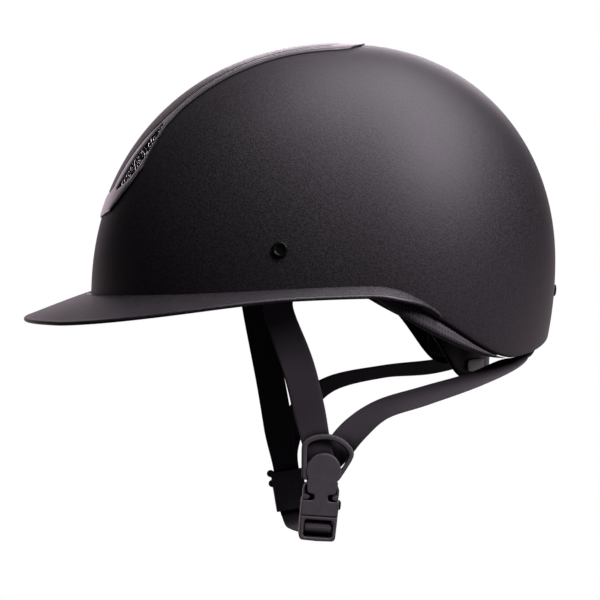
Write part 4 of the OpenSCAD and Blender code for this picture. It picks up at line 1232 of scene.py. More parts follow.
def strip(side):
    a = np.linspace(STRIP_REAR, STRIP_FRONT, STRIP_STEPS)
    low = rim_at(a) - GAP
    share = ((a - STRIP_REAR) / (STRIP_FRONT - STRIP_REAR)) ** STRIP_SKEW
    half = (STRIP_LEAST + STRIP_HANG * np.maximum(0, sind(180 * share)) ** 0.8) / 2
    middle = dome_r(a, low) - STRIP_INSET - STRIP_HALF
    rows = np.stack([out_at(side * a, middle + STRIP_HALF * squared(cosd(t), 0.6),
                            low - half + half * squared(sind(t), 0.7))
                     for t in np.linspace(0, 360, STRIP_AROUND + 1)], 1)
    girth = np.linspace(0, STRIP_GIRTH, STRIP_AROUND + 1)
    uv = np.stack(np.broadcast_arrays(lengths_along(rows[:, 0])[:, None], girth[None, :]), -1)
    return mesh_of(skin("strip", rows, cap=True, uv=uv))


strips = joined("rim_lining", [strip(-1), strip(1)])
settle(strips, "helmet", strip_cloth, "lining", "rim_lining")

# %% [markdown]
# ## Nape cradle
# The cradle is a flexible moulded strip that holds the back of the head, with arms that rise
# towards the ears. Its edges carry a small bead, which catches the light as a thin double line.

# %% Satin black plastic and the cradle
satin_black = speckled("satin_black_polypropylene", 0.6, "#050505", "#0d0c0d", rough=(0.3, 0.48),
                       bump=(0.12, 0.1), ior=1.49, specular_ior_level=0.05)

CRADLE_ROOM, CRADLE_THICK, ARM_END = 8.0, 2.6, 74.0
ROOM_SPAN, FOOT_SPAN, HEAD_SPAN = (40, 68), (36, ARM_END + 2), (40, ARM_END)
CRADLE_FOOT, CRADLE_HEAD, ARM_FOOT_RISE, ARM_HEAD_RISE = -48, -14, 42, 16
BEAD_RISE, BEAD_AT, BEAD_HALF, EDGE_ROUND, BELLY = 0.5, 1.1, 0.8, 0.8, 0.6
FACE_SET, FACE_TAPER, BACK_TAPER = 0.45, 0.7, 0.5


def cradle_r(a):
    room = CRADLE_ROOM - (CRADLE_ROOM - 2 * SOFT_GAP) * smooth(a, *ROOM_SPAN)
    return dome_r(a, rim_at(a), FOAM_IN) - room


def cradle_bottom(a):
    return CRADLE_FOOT + ARM_FOOT_RISE * smooth(a, *FOOT_SPAN)


def cradle_top(a):
    return CRADLE_HEAD + ARM_HEAD_RISE * smooth(a, *HEAD_SPAN)


def cradle_rows(steps=160):
    angle = np.linspace(ARM_END, -ARM_END, steps)
    a = fold(angle)
    r, low, high = cradle_r(a), cradle_bottom(a), cradle_top(a)
    tall = high - low
    front, rear = [], []
    for t in np.concatenate([np.linspace(0, 0.16, 9), np.linspace(0.2, 0.8, 9),
                             np.linspace(0.84, 1, 9)]):
        z = high - tall * t
        edge = np.minimum(t, 1 - t) * tall
        taper = np.clip(1 - edge / EDGE_ROUND, 0, 1) ** 2
        lip = BEAD_RISE * np.exp(-((edge - BEAD_AT) / BEAD_HALF) ** 2) - FACE_TAPER * taper
        belly = BELLY * np.sin(math.pi * t)
        front.append((r + belly + lip - FACE_SET, z))
        rear.append((r - CRADLE_THICK + belly + BACK_TAPER * taper, z))
    return np.stack([out_at(angle, q, z) for q, z in front + rear[::-1]], 1)


cradle = skin("nape_cradle", cradle_rows(), ring=True, cap=True)
settle(cradle, "helmet", satin_black, "cradle_plastic", "nape_cradle")

# %% [markdown]
# ## Nape pad
# A small pad lines the cradle where it touches the neck. It is sewn and swells like the others.

# %% Nape pad
PAD_END, NAPE_THICK, NAPE_STEPS, NAPE_SEAMS = 44.0, 6.0, 56, (0, 14, 28, 41, 55)
NAPE_FOOT, NAPE_HEAD, NAPE_ENDS, NAPE_SEWN, NAPE_FIELD = 4, 3, 0.35, 0.3, 0.5


def nape_rows():
    angle = np.linspace(PAD_END, -PAD_END, NAPE_STEPS)
    a = fold(angle)
    back_r = cradle_r(a) - CRADLE_THICK - GAP
    low, high = cradle_bottom(a) + NAPE_FOOT, cradle_top(a) - NAPE_HEAD
    middle = np.maximum(0, cosd(a * 90 / (PAD_END + 2))) ** 0.5
    full = NAPE_THICK * (NAPE_ENDS + (1 - NAPE_ENDS) * middle)
    seam = np.isin(np.arange(NAPE_STEPS), NAPE_SEAMS)
    thin = np.where(seam, NAPE_SEWN, NAPE_FIELD) * full
    back = [(back_r + 0.4 * np.sin(math.pi * t), low + (high - low) * t)
            for t in np.linspace(0.02, 0.98, 8)]
    face = [(back_r - thin, high + (low - high) * t) for t in np.linspace(0.08, 0.92, 12)]
    rows = back + [(back_r - thin * 0.5, high)] + face + [(back_r - thin * 0.5, low)]
    first, last = len(back) + 1, len(back) + len(face)
    held = [i * len(rows) + j for i in range(NAPE_STEPS)
            for j in range(len(rows)) if seam[i] or not first <= j <= last]
    return np.stack([out_at(angle, q, z) for q, z in rows], 1), held


rows, held = nape_rows()
nape_pad = skin("nape_pad", rows, ring=True, cap=True, merge=FINE_MERGE_MM)
swell(nape_pad, held, cap=2.8)
finish_pad(nape_pad, "nape_pad")

# %% [markdown]
# ## Stitches
# The pads are sewn with a lockstitch that shows as a row of short raised threads. A line is laid on
# the pad and pressed onto its surface. A node tree then walks along the line and sets a small
# thread at every step, so the length, the pitch and the thickness of the stitches are named inputs.

# %% A node tree that sews along lines
STITCH_MM, PITCH_MM, THREAD_MM, STITCH_LIFT_MM = 2.4, 3.4, 0.5, 0.1


def stitch_tree():
    tree, source, names = start_tree("sew along lines", {
        "Pitch": "Float", "Thread size": "Vector", "Finish": "Material"})
    lines = add(tree, "GeometryNodeMeshToCurve", {"Mesh": source["Geometry"]})
    steps = add(tree, "GeometryNodeCurveToPoints", {
        "Curve": lines.outputs[0], "Length": source["Pitch"]}, mode="LENGTH")
    thread = add(tree, "GeometryNodeMeshUVSphere", {"Segments": 8, "Rings": 6, "Radius": 1.0})
    sewn = add(tree, "GeometryNodeInstanceOnPoints", {
        "Points": steps.outputs["Points"], "Instance": thread.outputs["Mesh"],
        "Rotation": steps.outputs["Rotation"], "Scale": source["Thread size"]})
    close_tree(tree, source, sewn.outputs[0])
    return tree, names


sewing_thread = speckled("black_polyester_thread", 0.4, "#242126", "#4c464d", roughness=0.6,
                         sheen_weight=0.2, specular_ior_level=0.3)


def sew(name, pad, lines):
    points, edges = [], []
    for line in lines:
        first = len(points)
        for spot in np.asarray(line) * MM:
            _, on_pad, out, _ = pad.closest_point_on_mesh(Vector(spot))
            points.append(on_pad + out * STITCH_LIFT_MM * MM)
        edges += [(i, i + 1) for i in range(first, len(points) - 1)]
    mesh = bpy.data.meshes.new(name)
    mesh.from_pydata(points, edges, [])
    seam = run_tree(new_piece(name, mesh), *stitch_tree(), {
        "Pitch": PITCH_MM * MM, "Finish": sewing_thread,
        "Thread size": [size / 2 * MM for size in (THREAD_MM, THREAD_MM, STITCH_MM)]})
    shade_smooth(seam.data)
    settle(seam, "helmet", sewing_thread, "lining")


# %% Sew the pads
BAND_SEAM_IN, BAND_SEAM_DEPTH, CROWN_SEAMS = 3.2, 4.2, (4, 17)
NAPE_SEAM_END, NAPE_SEAM_LOW, NAPE_SEAM_HIGH = PAD_END - 3, 6.6, 5.6

turn = np.arange(0, 361, 2)
edge = BAND_HEIGHT / 2 - BAND_SEAM_IN
sew("headband_stitches", band, [on_band(turn, BAND_SEAM_DEPTH, h) for h in (edge, -edge)])
sew("crown_stitches", crown_pad, [
    dome_at(turn, PAD_LEVEL + up, PAD_OUT + PAD_THICK / 2) for up in CROWN_SEAMS])
turn = np.linspace(-NAPE_SEAM_END, NAPE_SEAM_END, 60)
inside = cradle_r(fold(turn)) - CRADLE_THICK - NAPE_THICK
sew("nape_stitches", nape_pad, [out_at(turn, inside, z) for z in (
    cradle_bottom(fold(turn)) + NAPE_SEAM_LOW, cradle_top(fold(turn)) - NAPE_SEAM_HIGH)])

# %% [markdown]
# ## Bare tab
# The pale tab on the cradle's outside is a plain plastic plate with rounded corners. It sits a
# little lower and nearer the ear than in the frame.

# %% Bare tab
pale_plastic = speckled("pale_grey_abs", 4, "#efedef", "#ffffff", detail=3.0, bump=(0.08, 0.2),
                        roughness=0.35, ior=1.5)

TAB_START, TAB_END, TAB_HEIGHT, TAB_UP, TAB_OUT = -25.0, -38.0, 7.0, 7.6, 0.6
TAB_LAYERS = ((0.0, 0.0), (0.7, 0.0), (0.97, 0.0), (1.0, 0.15), (1.0, 0.4), (0.96, 0.6),
              (0.88, 0.66), (0.0, 0.7))


def tab_rows():
    turn = np.arange(0, 360, 10)
    across, up = squared(cosd(turn), 0.35), squared(sind(turn), 0.5)
    rows = []
    for size, lift in TAB_LAYERS:
        angle = (TAB_START + TAB_END) / 2 + (TAB_END - TAB_START) / 2 * across * size
        r = cradle_r(fold(angle)) + TAB_OUT + GAP / 2 + lift
        z = cradle_bottom(fold(angle)) + TAB_UP + TAB_HEIGHT / 2 * up * size
        rows.append(out_at(angle, r, z))
    return rows


tab = skin("nape_tab", tab_rows(), ring=True)
settle(tab, "helmet", pale_plastic, "pale_plastic", "nape_tab")

# %% [markdown]
# ## Webbing
# The harness is flat woven polyester tape. It is woven over and under in ribs that run straight
# across, with a firmer edge on both sides. The real ribs are under a millimetre apart, finer than
# the picture shows, so they are drawn a little coarser. The pattern follows the tape's own map: one
# direction across the tape and the other along it. The front straps lie a little wider than in the
# frame where nothing holds them.

# %% Woven tape
RIB_MM, WARP_MM, YARN_MM, WARP_SHARE, YARN_SHARE = 1.2, 1.0, 0.6, 0.35, 0.8


def stripes(tree, along, pitch_mm):
    turns = maths(tree, "MULTIPLY", along, 2 * math.pi / (pitch_mm * MM))
    return maths(tree, "SINE", turns)


def woven_tape(name, dark, light):
    tape, tree, shader = start_material(
        name, roughness=0.82, sheen_weight=0.12, sheen_roughness=0.45, specular_ior_level=0.2)
    place = coordinates(tree, "UV")
    parts = add(tree, "ShaderNodeSeparateXYZ", {0: place}).outputs
    rib, warp = stripes(tree, parts[1], RIB_MM), stripes(tree, parts[0], WARP_MM)
    over = maths(tree, "MULTIPLY", rib, warp)
    weave = maths(tree, "MULTIPLY_ADD", over, WARP_SHARE, rib)
    fuzz = maths(tree, "MULTIPLY_ADD", noise(tree, place, YARN_MM), YARN_SHARE, weave)
    colour = blend_colours(tree, remap(tree, fuzz, (-1.0, 1.8)), dark, light)
    # Painted shade: the tape's colour falls to near black where other parts are close.
    feed(tree, shader, base_color=paint_gap_shade(tree, colour))
    emboss(tree, shader, fuzz, strength=0.16, depth_mm=0.12)
    return tape


tape_cloth = woven_tape("black_polyester_webbing", "#4c454d", "#635a64")
print("finish made:", tape_cloth.name)

# %% A tape along a route
TAPE_AROUND, TAPE_STEP, ROUTE_STEPS = 28, 0.9, 16
SELVAGE_RISE, SELVAGE_AT, SELVAGE_HALF = 0.1, 1.0, 0.7
WIDEN, NARROW, FRONT_SPREAD = (15, 45), (40, 15), 2.4


def curve_through(points):
    points = np.asarray(points, float)
    last = len(points) - 1
    t = (np.arange(ROUTE_STEPS) / ROUTE_STEPS)[:, None]
    rows = []
    for i in range(last):
        p, q, r, s = (points[min(last, max(0, k))] for k in range(i - 1, i + 3))
        rows.append(0.5 * (2 * q + (r - p) * t + (2 * p - 5 * q + 4 * r - s) * t ** 2
                           + (3 * q - p - 3 * r + s) * t ** 3))
    return np.concatenate(rows + [points[-1:]])


def webbing(name, stops, spread=0.0):
    """Each stop is a place and the way across the tape there. It may spread between its ends."""
    route, lay = (curve_through([stop[k] for stop in stops]) for k in (0, 1))
    along = lengths_along(route)
    even = np.linspace(0, along[-1], int(along[-1] / TAPE_STEP) + 1)
    route, lay = (np.stack([np.interp(even, along, line[:, k]) for k in range(3)], 1)
                  for line in (route, lay))
    ahead = unit(np.gradient(route, axis=0))
    across = unit(lay - ahead * np.sum(lay * ahead, 1, keepdims=True))
    up = np.cross(ahead, across)
    turn = np.linspace(0, 360, TAPE_AROUND + 1)
    x = STRAP_W / 2 * squared(cosd(turn), 0.28)
    y = STRAP_T / 2 * squared(sind(turn), 0.8)
    selvage = np.exp(-((STRAP_W / 2 - np.abs(x) - SELVAGE_AT) / SELVAGE_HALF) ** 2)
    y = y * (1 + SELVAGE_RISE * selvage) / (1 + SELVAGE_RISE)
    held = smooth(even, even[-1] - NARROW[0], even[-1] - NARROW[1])
    wide = 1 + spread / STRAP_W * smooth(even, *WIDEN) * (1 - held)
    rows = (route[:, None, :] + across[:, None, :] * x[None, :, None] * wide[:, None, None]
            + up[:, None, :] * y[None, :, None])
    girth = lengths_along(np.stack([x, y], 1))
    uv = np.stack(np.broadcast_arrays(girth[None, :], even[:, None]), -1)
    return skin(name, rows, cap=True, uv=uv)


def strap(name, stops, spread=0.0):
    settle(webbing(name, stops, spread), "helmet", tape_cloth, "webbing", name)


# %% [markdown]
# ## Routes of the straps
# Each front strap hangs from its side rivet, and each rear strap comes out below the rim at the
# nape. On the left they meet in the buckle, and on the right in a divider, from which the chin
# strap goes under the chin to the buckle's clip. The stops are the points that the frame was built
# on, but the left rear strap leaves the rim a little further back.

# %% Places on the buckle and the divider
BUCKLE_PLACE, BUCKLE_LEAN, BUCKLE_TILT = np.array([-6.3, -72.0, -97.0]), 7.9, 4.7
DIVIDER_PLACE, DIVIDER_TILT = np.array([-15.9, 57.2, -127.8]), -9.0
BUCKLE_W, BUCKLE_T, DISC_T = 21.4, 9.0, 3.3
LAYER_ONE = np.full(3, SHELL_WALL + WEB_GAP + STRAP_T / 2)
LAYER_TWO = LAYER_ONE + LAYER_STEP
DISC_LAYER = -BUCKLE_T / 2 + DISC_T + GAP + STRAP_T / 2
UNDER_RIM, CHIN_SAG, FRONT_TUCK, REAR_TURN = np.full(3, 9.0), 3.5, 3, 21
FRONT_LEVELS = RIVET_LEVEL + 7, RIVET_LEVEL - 8, RIM_EAR + 6, RIM_EAR - 8
FRONT_SLANT = {-1: (0, -0.3, -0.8, -1.8), 1: (0, -0.3, -1.6, -4.8)}
FRONT_LAY = {-1: (0.88, -0.46, 0.1), 1: (-0.97, -0.2, 0.1)}
REAR_LAYER = {-1: LAYER_ONE, 1: LAYER_TWO}
REAR_EXIT, REAR_DROP = {-1: 26.5, 1: 31.9}, {-1: 4.6, 1: 9.6}
REAR_STOPS = (REAR_TURN, 1), (12.5, 10), (5, 22), (-2, 34)


def swing(p, lean, tilt):
    x, y, z = np.moveaxis(np.asarray(p, float), -1, 0)
    y, z = y * cosd(lean) - z * sind(lean), y * sind(lean) + z * cosd(lean)
    return np.stack([x * cosd(tilt) + z * sind(tilt), y, z * cosd(tilt) - x * sind(tilt)], -1)


def from_buckle(p):
    return BUCKLE_PLACE + swing(p, BUCKLE_LEAN, BUCKLE_TILT)


def from_divider(p):
    return DIVIDER_PLACE + swing(p, -BUCKLE_LEAN, DIVIDER_TILT)


def front_stops(side):
    """Down inside the shell from the rivet and out under the rim."""
    a = side * RIVET_ANGLE
    places = [dome_at(a, z, LAYER_ONE) + [slant, 0, 0]
              for z, slant in zip(FRONT_LEVELS, FRONT_SLANT[side])]
    lays = [dome_tangent(a, z) for z in FRONT_LEVELS[:3]]
    return list(zip(places[:3], lays)) + [(places[3] - [0, side * FRONT_TUCK, 0], FRONT_LAY[side])]


def rear_exit(side):
    a = REAR_EXIT[side]
    return dome_at(side * a, float(rim_at(a)) - REAR_DROP[side], UNDER_RIM)


def rear_stops(side):
    """In under the rim and up inside the shell to the rear rivet."""
    last = len(REAR_STOPS) - 1
    stops = [(side * a, float(rim_at(REAR_TURN)) + rise) for a, rise in REAR_STOPS]
    route = [dome_at(a, z, REAR_LAYER[side] + (1 - i / last) * WEB_GAP)
             for i, (a, z) in enumerate(stops)]
    inside = [(route[i], unit(np.cross(route[min(last, i + 1)] - route[max(0, i - 1)],
                                       dome_normal(*stops[i])))) for i in range(last + 1)]
    return [(rear_exit(side), [-side * 0.2, 0.92, -side * 0.15])] + inside


def between(p, q, share, out, up):
    return p + (q - p) * share + np.array([0, out, up])


edge_on = swing([1, 0, 0], 0, BUCKLE_TILT)
divider_edge = swing([1, 0, 0], 0, DIVIDER_TILT)
print("buckle at", BUCKLE_PLACE, "and divider at", DIVIDER_PLACE, "mm")

# %% Left straps
turned = swing([0.96, 0, 0.28], BUCKLE_LEAN, BUCKLE_TILT)
strap("left_front_strap", front_stops(-1) + [
    (from_buckle([-19.4, DISC_LAYER - 7.5, 58]), [0.97, 0, 0.22]),
    (from_buckle([-9.2, DISC_LAYER - 0.5, 27]), turned),
    (from_buckle([-5.2, DISC_LAYER, 15]), turned),
    (from_buckle([-1.6, DISC_LAYER, 4]), turned),
    (from_buckle([0.2, DISC_LAYER, -4.5]), turned)], FRONT_SPREAD)

layer = DISC_LAYER + LAYER_STEP
turned = swing([-0.76, 0, 0.65], BUCKLE_LEAN, BUCKLE_TILT)
leave, arrive = from_buckle([16, layer, 23.5]), rear_exit(-1)
strap("left_rear_strap", [
    (from_buckle([-3.4, layer, -3.2]), turned), (from_buckle([5.5, layer, 8]), turned),
    (leave, [-0.66, 0.42, 0.62]),
    (between(leave, arrive, 0.16, -4.2, 5.6), [-0.36, 0.76, 0.54]),
    (between(leave, arrive, 0.4, -12.2, 4.1), [-0.2, 0.81, 0.55]),
    (between(leave, arrive, 0.72, -15.4, 1.2), [-0.2, 0.9, 0.36])] + rear_stops(-1))

# %% Right straps
LAYER_MID = STRAP_T / 2 + GAP / 2

strap("right_front_strap", front_stops(1) + [
    (from_divider([-0.2, 6.2, 67.8]), [-0.98, 0, 0.14]),
    (from_divider([-0.4, 0.2, 32]), -divider_edge)] + [
    (from_divider([0, -LAYER_MID, up]), -divider_edge) for up in (15, 6, 1)], FRONT_SPREAD)

leave, arrive = from_divider([15.5, STRAP_T / 2 + 8, 48]), rear_exit(1)
strap("right_rear_strap", [
    (from_divider([0, LAYER_MID, 1]), divider_edge),
    (from_divider([0, LAYER_MID, 9]), divider_edge),
    (from_divider([2.4, STRAP_T / 2 + 3.2, 27]), [0.98, 0, -0.2]),
    (leave, [0.75, 0.3, -0.6]),
    (between(leave, arrive, 0.18, 10.2, 9.6), [0.35, 0.7, -0.62]),
    (between(leave, arrive, 0.48, 14.4, 6.2), [0.2, 0.8, -0.55]),
    (between(leave, arrive, 0.77, 16.4, -1.2), [0.2, 0.77, -0.6])] + rear_stops(1))

# %% [markdown]
# ## Chin strap
# The chin strap starts in the divider, hangs under the chin and wraps round the bar of the clip.
# Its loose end comes back behind the clip into a small cap.

# %% Chin strap
THROAT_TOP, THROAT_H, CLIP_H, CLIP_BAR = -18.2, 8.6, 14.8, 4.2
THROAT_FOOT = THROAT_TOP - THROAT_H
CLIP_TOP = THROAT_FOOT - GAP
CLIP_FOOT = CLIP_TOP - CLIP_H
CLIP_MID = (CLIP_TOP + CLIP_FOOT) / 2
WRAP = CLIP_BAR / 2 + STRAP_T / 2 + GAP
TAIL_X, TAIL_Y, TAIL_END = 2.6, BUCKLE_T / 2 + 2.8, 4.0
SLEEVE_H = 25.0

slanted = swing([0.95, 0, -0.3], BUCKLE_LEAN, BUCKLE_TILT)
leave = from_divider([0.4, -1.5, -SLEEVE_H / 2 - 3])
arrive = from_buckle([0, 10, CLIP_MID - WRAP - 3.4])
hanging = [
    (from_divider([0, 0, 0.3]), divider_edge),
    (from_divider([0, 0, -SLEEVE_H / 2 + 1]), divider_edge),
    (leave, divider_edge),
    (between(leave, arrive, 0.2, 0, -CHIN_SAG), divider_edge),
    (between(leave, arrive, 0.5, 0, -CHIN_SAG), [1, 0, 0]),
    (between(leave, arrive, 0.8, 0, -CHIN_SAG * 0.5), edge_on),
    (arrive, edge_on)]
wrapped = [([0, 4.4, CLIP_MID - WRAP - 0.4], edge_on)] + [
    ([0, -WRAP * cosd(t), CLIP_MID + WRAP * sind(t)], edge_on) for t in range(-90, 91, 36)]
loose = [
    ([0.2, 4.4, CLIP_MID + WRAP + 0.2], edge_on),
    ([1.2, TAIL_Y - 0.3, CLIP_TOP - 2.2], slanted),
    ([2.2, TAIL_Y, CLIP_TOP - 0.4], slanted),
    ([TAIL_X, TAIL_Y, CLIP_TOP + 1.4], edge_on),
    ([TAIL_X, TAIL_Y, CLIP_TOP + TAIL_END], edge_on)]
chin = webbing("chin_strap", hanging + [(from_buckle(p), lay) for p, lay in wrapped + loose])
chin.data.materials.append(tape_cloth)
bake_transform(chin)
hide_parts("chin_strap")
print("chin strap", len(chin.data.polygons), "faces")

# %% [markdown]
# ## Moulded plastic
# The buckle, its clip and the divider are injection moulded acetal with a satin skin. The mould is
# lightly etched, so the plastic has a fine even grain and a broad soft highlight, and a broader
# random rub varies its roughness and tone. The grain is drawn at half a millimetre so that it
# shows.

# %% Satin acetal
ETCH_MM, RUB_MM, RUB_SHARE = 0.5, 6, 0.5

acetal, tree, shader = start_material("satin_black_acetal", ior=1.48, specular_ior_level=0.2)
place = coordinates(tree)
etch = noise(tree, place, ETCH_MM)
rub = noise(tree, place, RUB_MM, detail=3.0)
worn = remap(tree, maths(tree, "MULTIPLY_ADD", rub, RUB_SHARE, etch), (0.45, 1.05))
colour = blend_colours(tree, worn, "#5e565f", "#736a74")
# Painted shade: the colour falls to near black in narrow gaps and where parts meet.
feed(tree, shader, base_color=paint_gap_shade(tree, colour),
     roughness=remap(tree, rub, onto=(0.36, 0.56)))
emboss(tree, shader, etch, strength=0.12, depth_mm=0.1)
print("finish made:", acetal.name)

# %% [markdown]
# ## Fused mouldings
# A moulding is drawn as flat outlines, each pushed out between two depths with a rounded edge. Its
# outlines overlap. A voxel remesh fuses them into one skin, and a light smoothing then leaves the
# small radius in the inner corners that every moulded piece has.

# %% Outlines to one skin
def extruded(loops, near, far, edge=0.3):
    """The first loop is the outline, the others are holes. Depth runs away from the viewer."""
    shape = bpy.data.curves.new("outline", "CURVE")
    shape.dimensions, shape.fill_mode = "2D", "BOTH"
    shape.extrude, shape.bevel_depth = ((far - near) / 2 - edge) * MM, edge * MM
    shape.offset, shape.bevel_resolution = -edge * MM, 3
    for k, loop in enumerate(loops):
        loop = np.asarray(loop, float)
        x, z = loop.T
        clockwise = np.sum(x * np.roll(z, -1) - z * np.roll(x, -1)) < 0
        if clockwise == (k == 0):
            loop = loop[::-1]
        spline = shape.splines.new("POLY")
        spline.points.add(len(loop) - 1)
        spline.use_cyclic_u = True
        corners = np.column_stack([loop * MM, np.zeros(len(loop)), np.ones(len(loop))])
        spline.points.foreach_set("co", corners.ravel())
    work = bpy.data.objects.new("outline", shape)
    bpy.context.scene.collection.objects.link(work)
    solved = work.evaluated_get(bpy.context.evaluated_depsgraph_get())
    mesh = bpy.data.meshes.new_from_object(solved)
    bpy.data.objects.remove(work)
    x, z, depth = read_points(mesh).T
    write_points(mesh, np.column_stack([x, (near + far) / 2 * MM - depth, z]))
    return mesh


def fused(name, meshes, place, voxel=0.2, soften=5):
    piece = joined(name, meshes)
    melt = piece.modifiers.new("fuse", "REMESH")
    melt.mode, melt.voxel_size = "VOXEL", voxel * MM
    calm = piece.modifiers.new("soften", "SMOOTH")
    calm.factor, calm.iterations = 0.5, soften
    freeze(piece)
    write_points(piece.data, place(read_points(piece.data) / MM) * MM)
    shade_smooth(piece.data)
    return piece


def arc(radius, start, end, steps, centre=(0, 0)):
    t = np.linspace(start, end, steps)
    return np.stack([centre[0] + radius * cosd(t), centre[1] + radius * sind(t)], 1)


def rounded_box(low, high, radius):
    (x0, z0), (x1, z1) = low, high
    return np.concatenate([arc(radius, a, a + 90, 8, c) for a, c in (
        (0, (x1 - radius, z1 - radius)), (90, (x0 + radius, z1 - radius)),
        (180, (x0 + radius, z0 + radius)), (270, (x1 - radius, z0 + radius)))])


MIRROR = [-1, 1]

# %% [markdown]
# ## Buckle housing
# The housing has a strap loop at the top, a round disc that covers the rivet of the two straps, a
# neck with a notch on each side and a hollow throat that takes the clip's prongs. The loop's
# outline is found by looking out from its middle until an arch or one of the straight sides is met,
# and the meeting is blended, which rounds its corners. The notches and the waist are half a
# millimetre deeper than in the frame, so that the squeezed prongs stay clear.

# %% Outlines of the housing
FRONT_Y, DISC_R, ARCH_R, ARCH_BAR = -BUCKLE_T / 2, 10.0, 19.8, 3.2
LOOP_EYE, ARCH_CENTRE, LOOP_BLEND = np.array([0.0, 3.0]), (0, 1.5), 14.0
LEAST_FACING, OUT_OF_REACH = 1e-3, 1e4
BACK_NEAR, BACK_FAR, BACK_R, BACK_HALF, STEM_R = 3.3, 4.5, 8.5, 8.3, 1.8
SKIN_T, WALL_T, HOUSING_VOXEL = 1.2, 1, 0.22


def loop_outline(inset, steps=160):
    t = np.linspace(0, 360, steps, endpoint=False)
    ray = np.stack([cosd(t), sind(t)], 1)
    toward = LOOP_EYE - ARCH_CENTRE
    along = ray @ toward
    reach = [-along + np.sqrt(along ** 2 - toward @ toward + (ARCH_R - inset) ** 2)]
    corners = np.array([(-15 + inset, 26), (-12 + inset, -6.4), (9 - inset, -6.4),
                        (17.9 - inset, 10.3 - inset * 0.2), (21 - inset, 26)])
    for p, q in zip(corners, corners[1:]):
        out = unit([p[1] - q[1], q[0] - p[0]])
        out = out if out @ (p - LOOP_EYE) > 0 else -out
        facing = ray @ out
        met = (out @ (p - LOOP_EYE)) / np.maximum(facing, LEAST_FACING)
        reach.append(np.where(facing > LEAST_FACING, met, OUT_OF_REACH))
    blended = np.sum([r ** -LOOP_BLEND for r in reach], 0) ** (-1 / LOOP_BLEND)
    return LOOP_EYE + ray * blended[:, None]


def both_sides(right):
    """An outline from its right half, read from the top down."""
    right = np.array(right, float)
    return np.concatenate([right, right[::-1] * MIRROR])


window = loop_outline(ARCH_BAR)
neck = both_sides([
    (6.0, -2.0), (9.2, -7.0), (8.7, -8.6), (8.3, -12.6), (7.7, -13.6), (6.2, -13.9), (4.5, -14.1),
    (3.9, -15.0), (3.9, -17.3), (5.0, -18.1), (8.0, -18.4)])
waist = both_sides([(3.7, -5), (3.7, -16), (5.4, -18.9)])
half = BUCKLE_W / 2
throat = rounded_box((-half, THROAT_FOOT), (half, THROAT_TOP + 0.2), 0.7)
wall = rounded_box((-half, THROAT_FOOT), (-half + WALL_T, THROAT_TOP), 0.3)
back = rounded_box((-BACK_HALF, THROAT_TOP - 0.5), (BACK_HALF, -4.5), 1.5)
housing = fused("buckle_housing", [
    extruded([loop_outline(0), window[::-1]], FRONT_Y + 0.4, FRONT_Y + DISC_T, 1.0),
    extruded([arc(DISC_R, 0, 354, 60)], FRONT_Y, FRONT_Y + DISC_T, 0.6),
    extruded([neck], FRONT_Y, FRONT_Y + 1.3, 0.4),
    extruded([waist], FRONT_Y + 0.5, FRONT_Y + DISC_T, 0.3),
    extruded([throat], FRONT_Y, FRONT_Y + SKIN_T, 0.4),
    extruded([throat], -FRONT_Y - SKIN_T, -FRONT_Y, 0.4),
    extruded([wall], FRONT_Y + 0.4, -FRONT_Y - 0.4, 0.2),
    extruded([wall * MIRROR], FRONT_Y + 0.4, -FRONT_Y - 0.4, 0.2),
    extruded([arc(BACK_R, 0, 354, 60)], BACK_NEAR, BACK_FAR, 0.4),
    extruded([back], BACK_NEAR, BACK_FAR, 0.4),
    extruded([arc(STEM_R, 0, 350, 36)], FRONT_Y + 1, 4.0, 0.1)], from_buckle, HOUSING_VOXEL)
settle(housing, "helmet", acetal, "buckle_plastic", "buckle_housing")

# %% [markdown]
# ## Clip and prongs
# The clip is a frame with a bar for the chin strap and a tongue that guides it into the throat. A
# sprung prong on each side ends in a hook that shows in the notch beside the neck. The prongs are
# pieces of their own, because they squeeze together.

# %% Clip and prongs
PRONG_X, PRONG_FOOT, PRONG_T, PRONG_ROOT_R, PRONG_VOXEL = 7.6, -26.6, 6.0, 1.5, 0.16
HOOK_NEAR, HOOK_FAR = -3.9, 2.0
WINDOW_HALF, WINDOW_RISE, BAR_HALF, TONGUE_HALF, TONGUE_T = 8.3, 5.1, 9.5, 4.6, 6

clip_frame = np.concatenate([
    [(half, CLIP_TOP)], arc(2.4, 0, -80, 9, (half - 2.6, CLIP_FOOT + 2.6)), [(0, CLIP_FOOT - 0.1)],
    arc(2.4, -100, -180, 9, (2.6 - half, CLIP_FOOT + 2.6)), [(-half, CLIP_TOP)]])
clip_window = rounded_box((-WINDOW_HALF, CLIP_MID - WINDOW_RISE),
                          (WINDOW_HALF, CLIP_MID + WINDOW_RISE), 1.6)
tongue = rounded_box((-TONGUE_HALF, CLIP_TOP - 1), (TONGUE_HALF, CLIP_TOP + THROAT_H), 1.2)
round_bar = arc(CLIP_BAR / 2, 0, 348, 30, (0, CLIP_MID))
bar = skin("bar", [np.column_stack([np.full(len(round_bar), x), round_bar])
                   for x in (-BAR_HALF, BAR_HALF)], ring=True, cap=True)
clip = fused("buckle_clip", [
    extruded([clip_frame, clip_window], FRONT_Y, -FRONT_Y, 0.7), mesh_of(bar),
    extruded([tongue], -TONGUE_T / 2, TONGUE_T / 2, 0.4)], from_buckle)
settle(clip, "clip", acetal, "buckle_plastic", "buckle_clip")

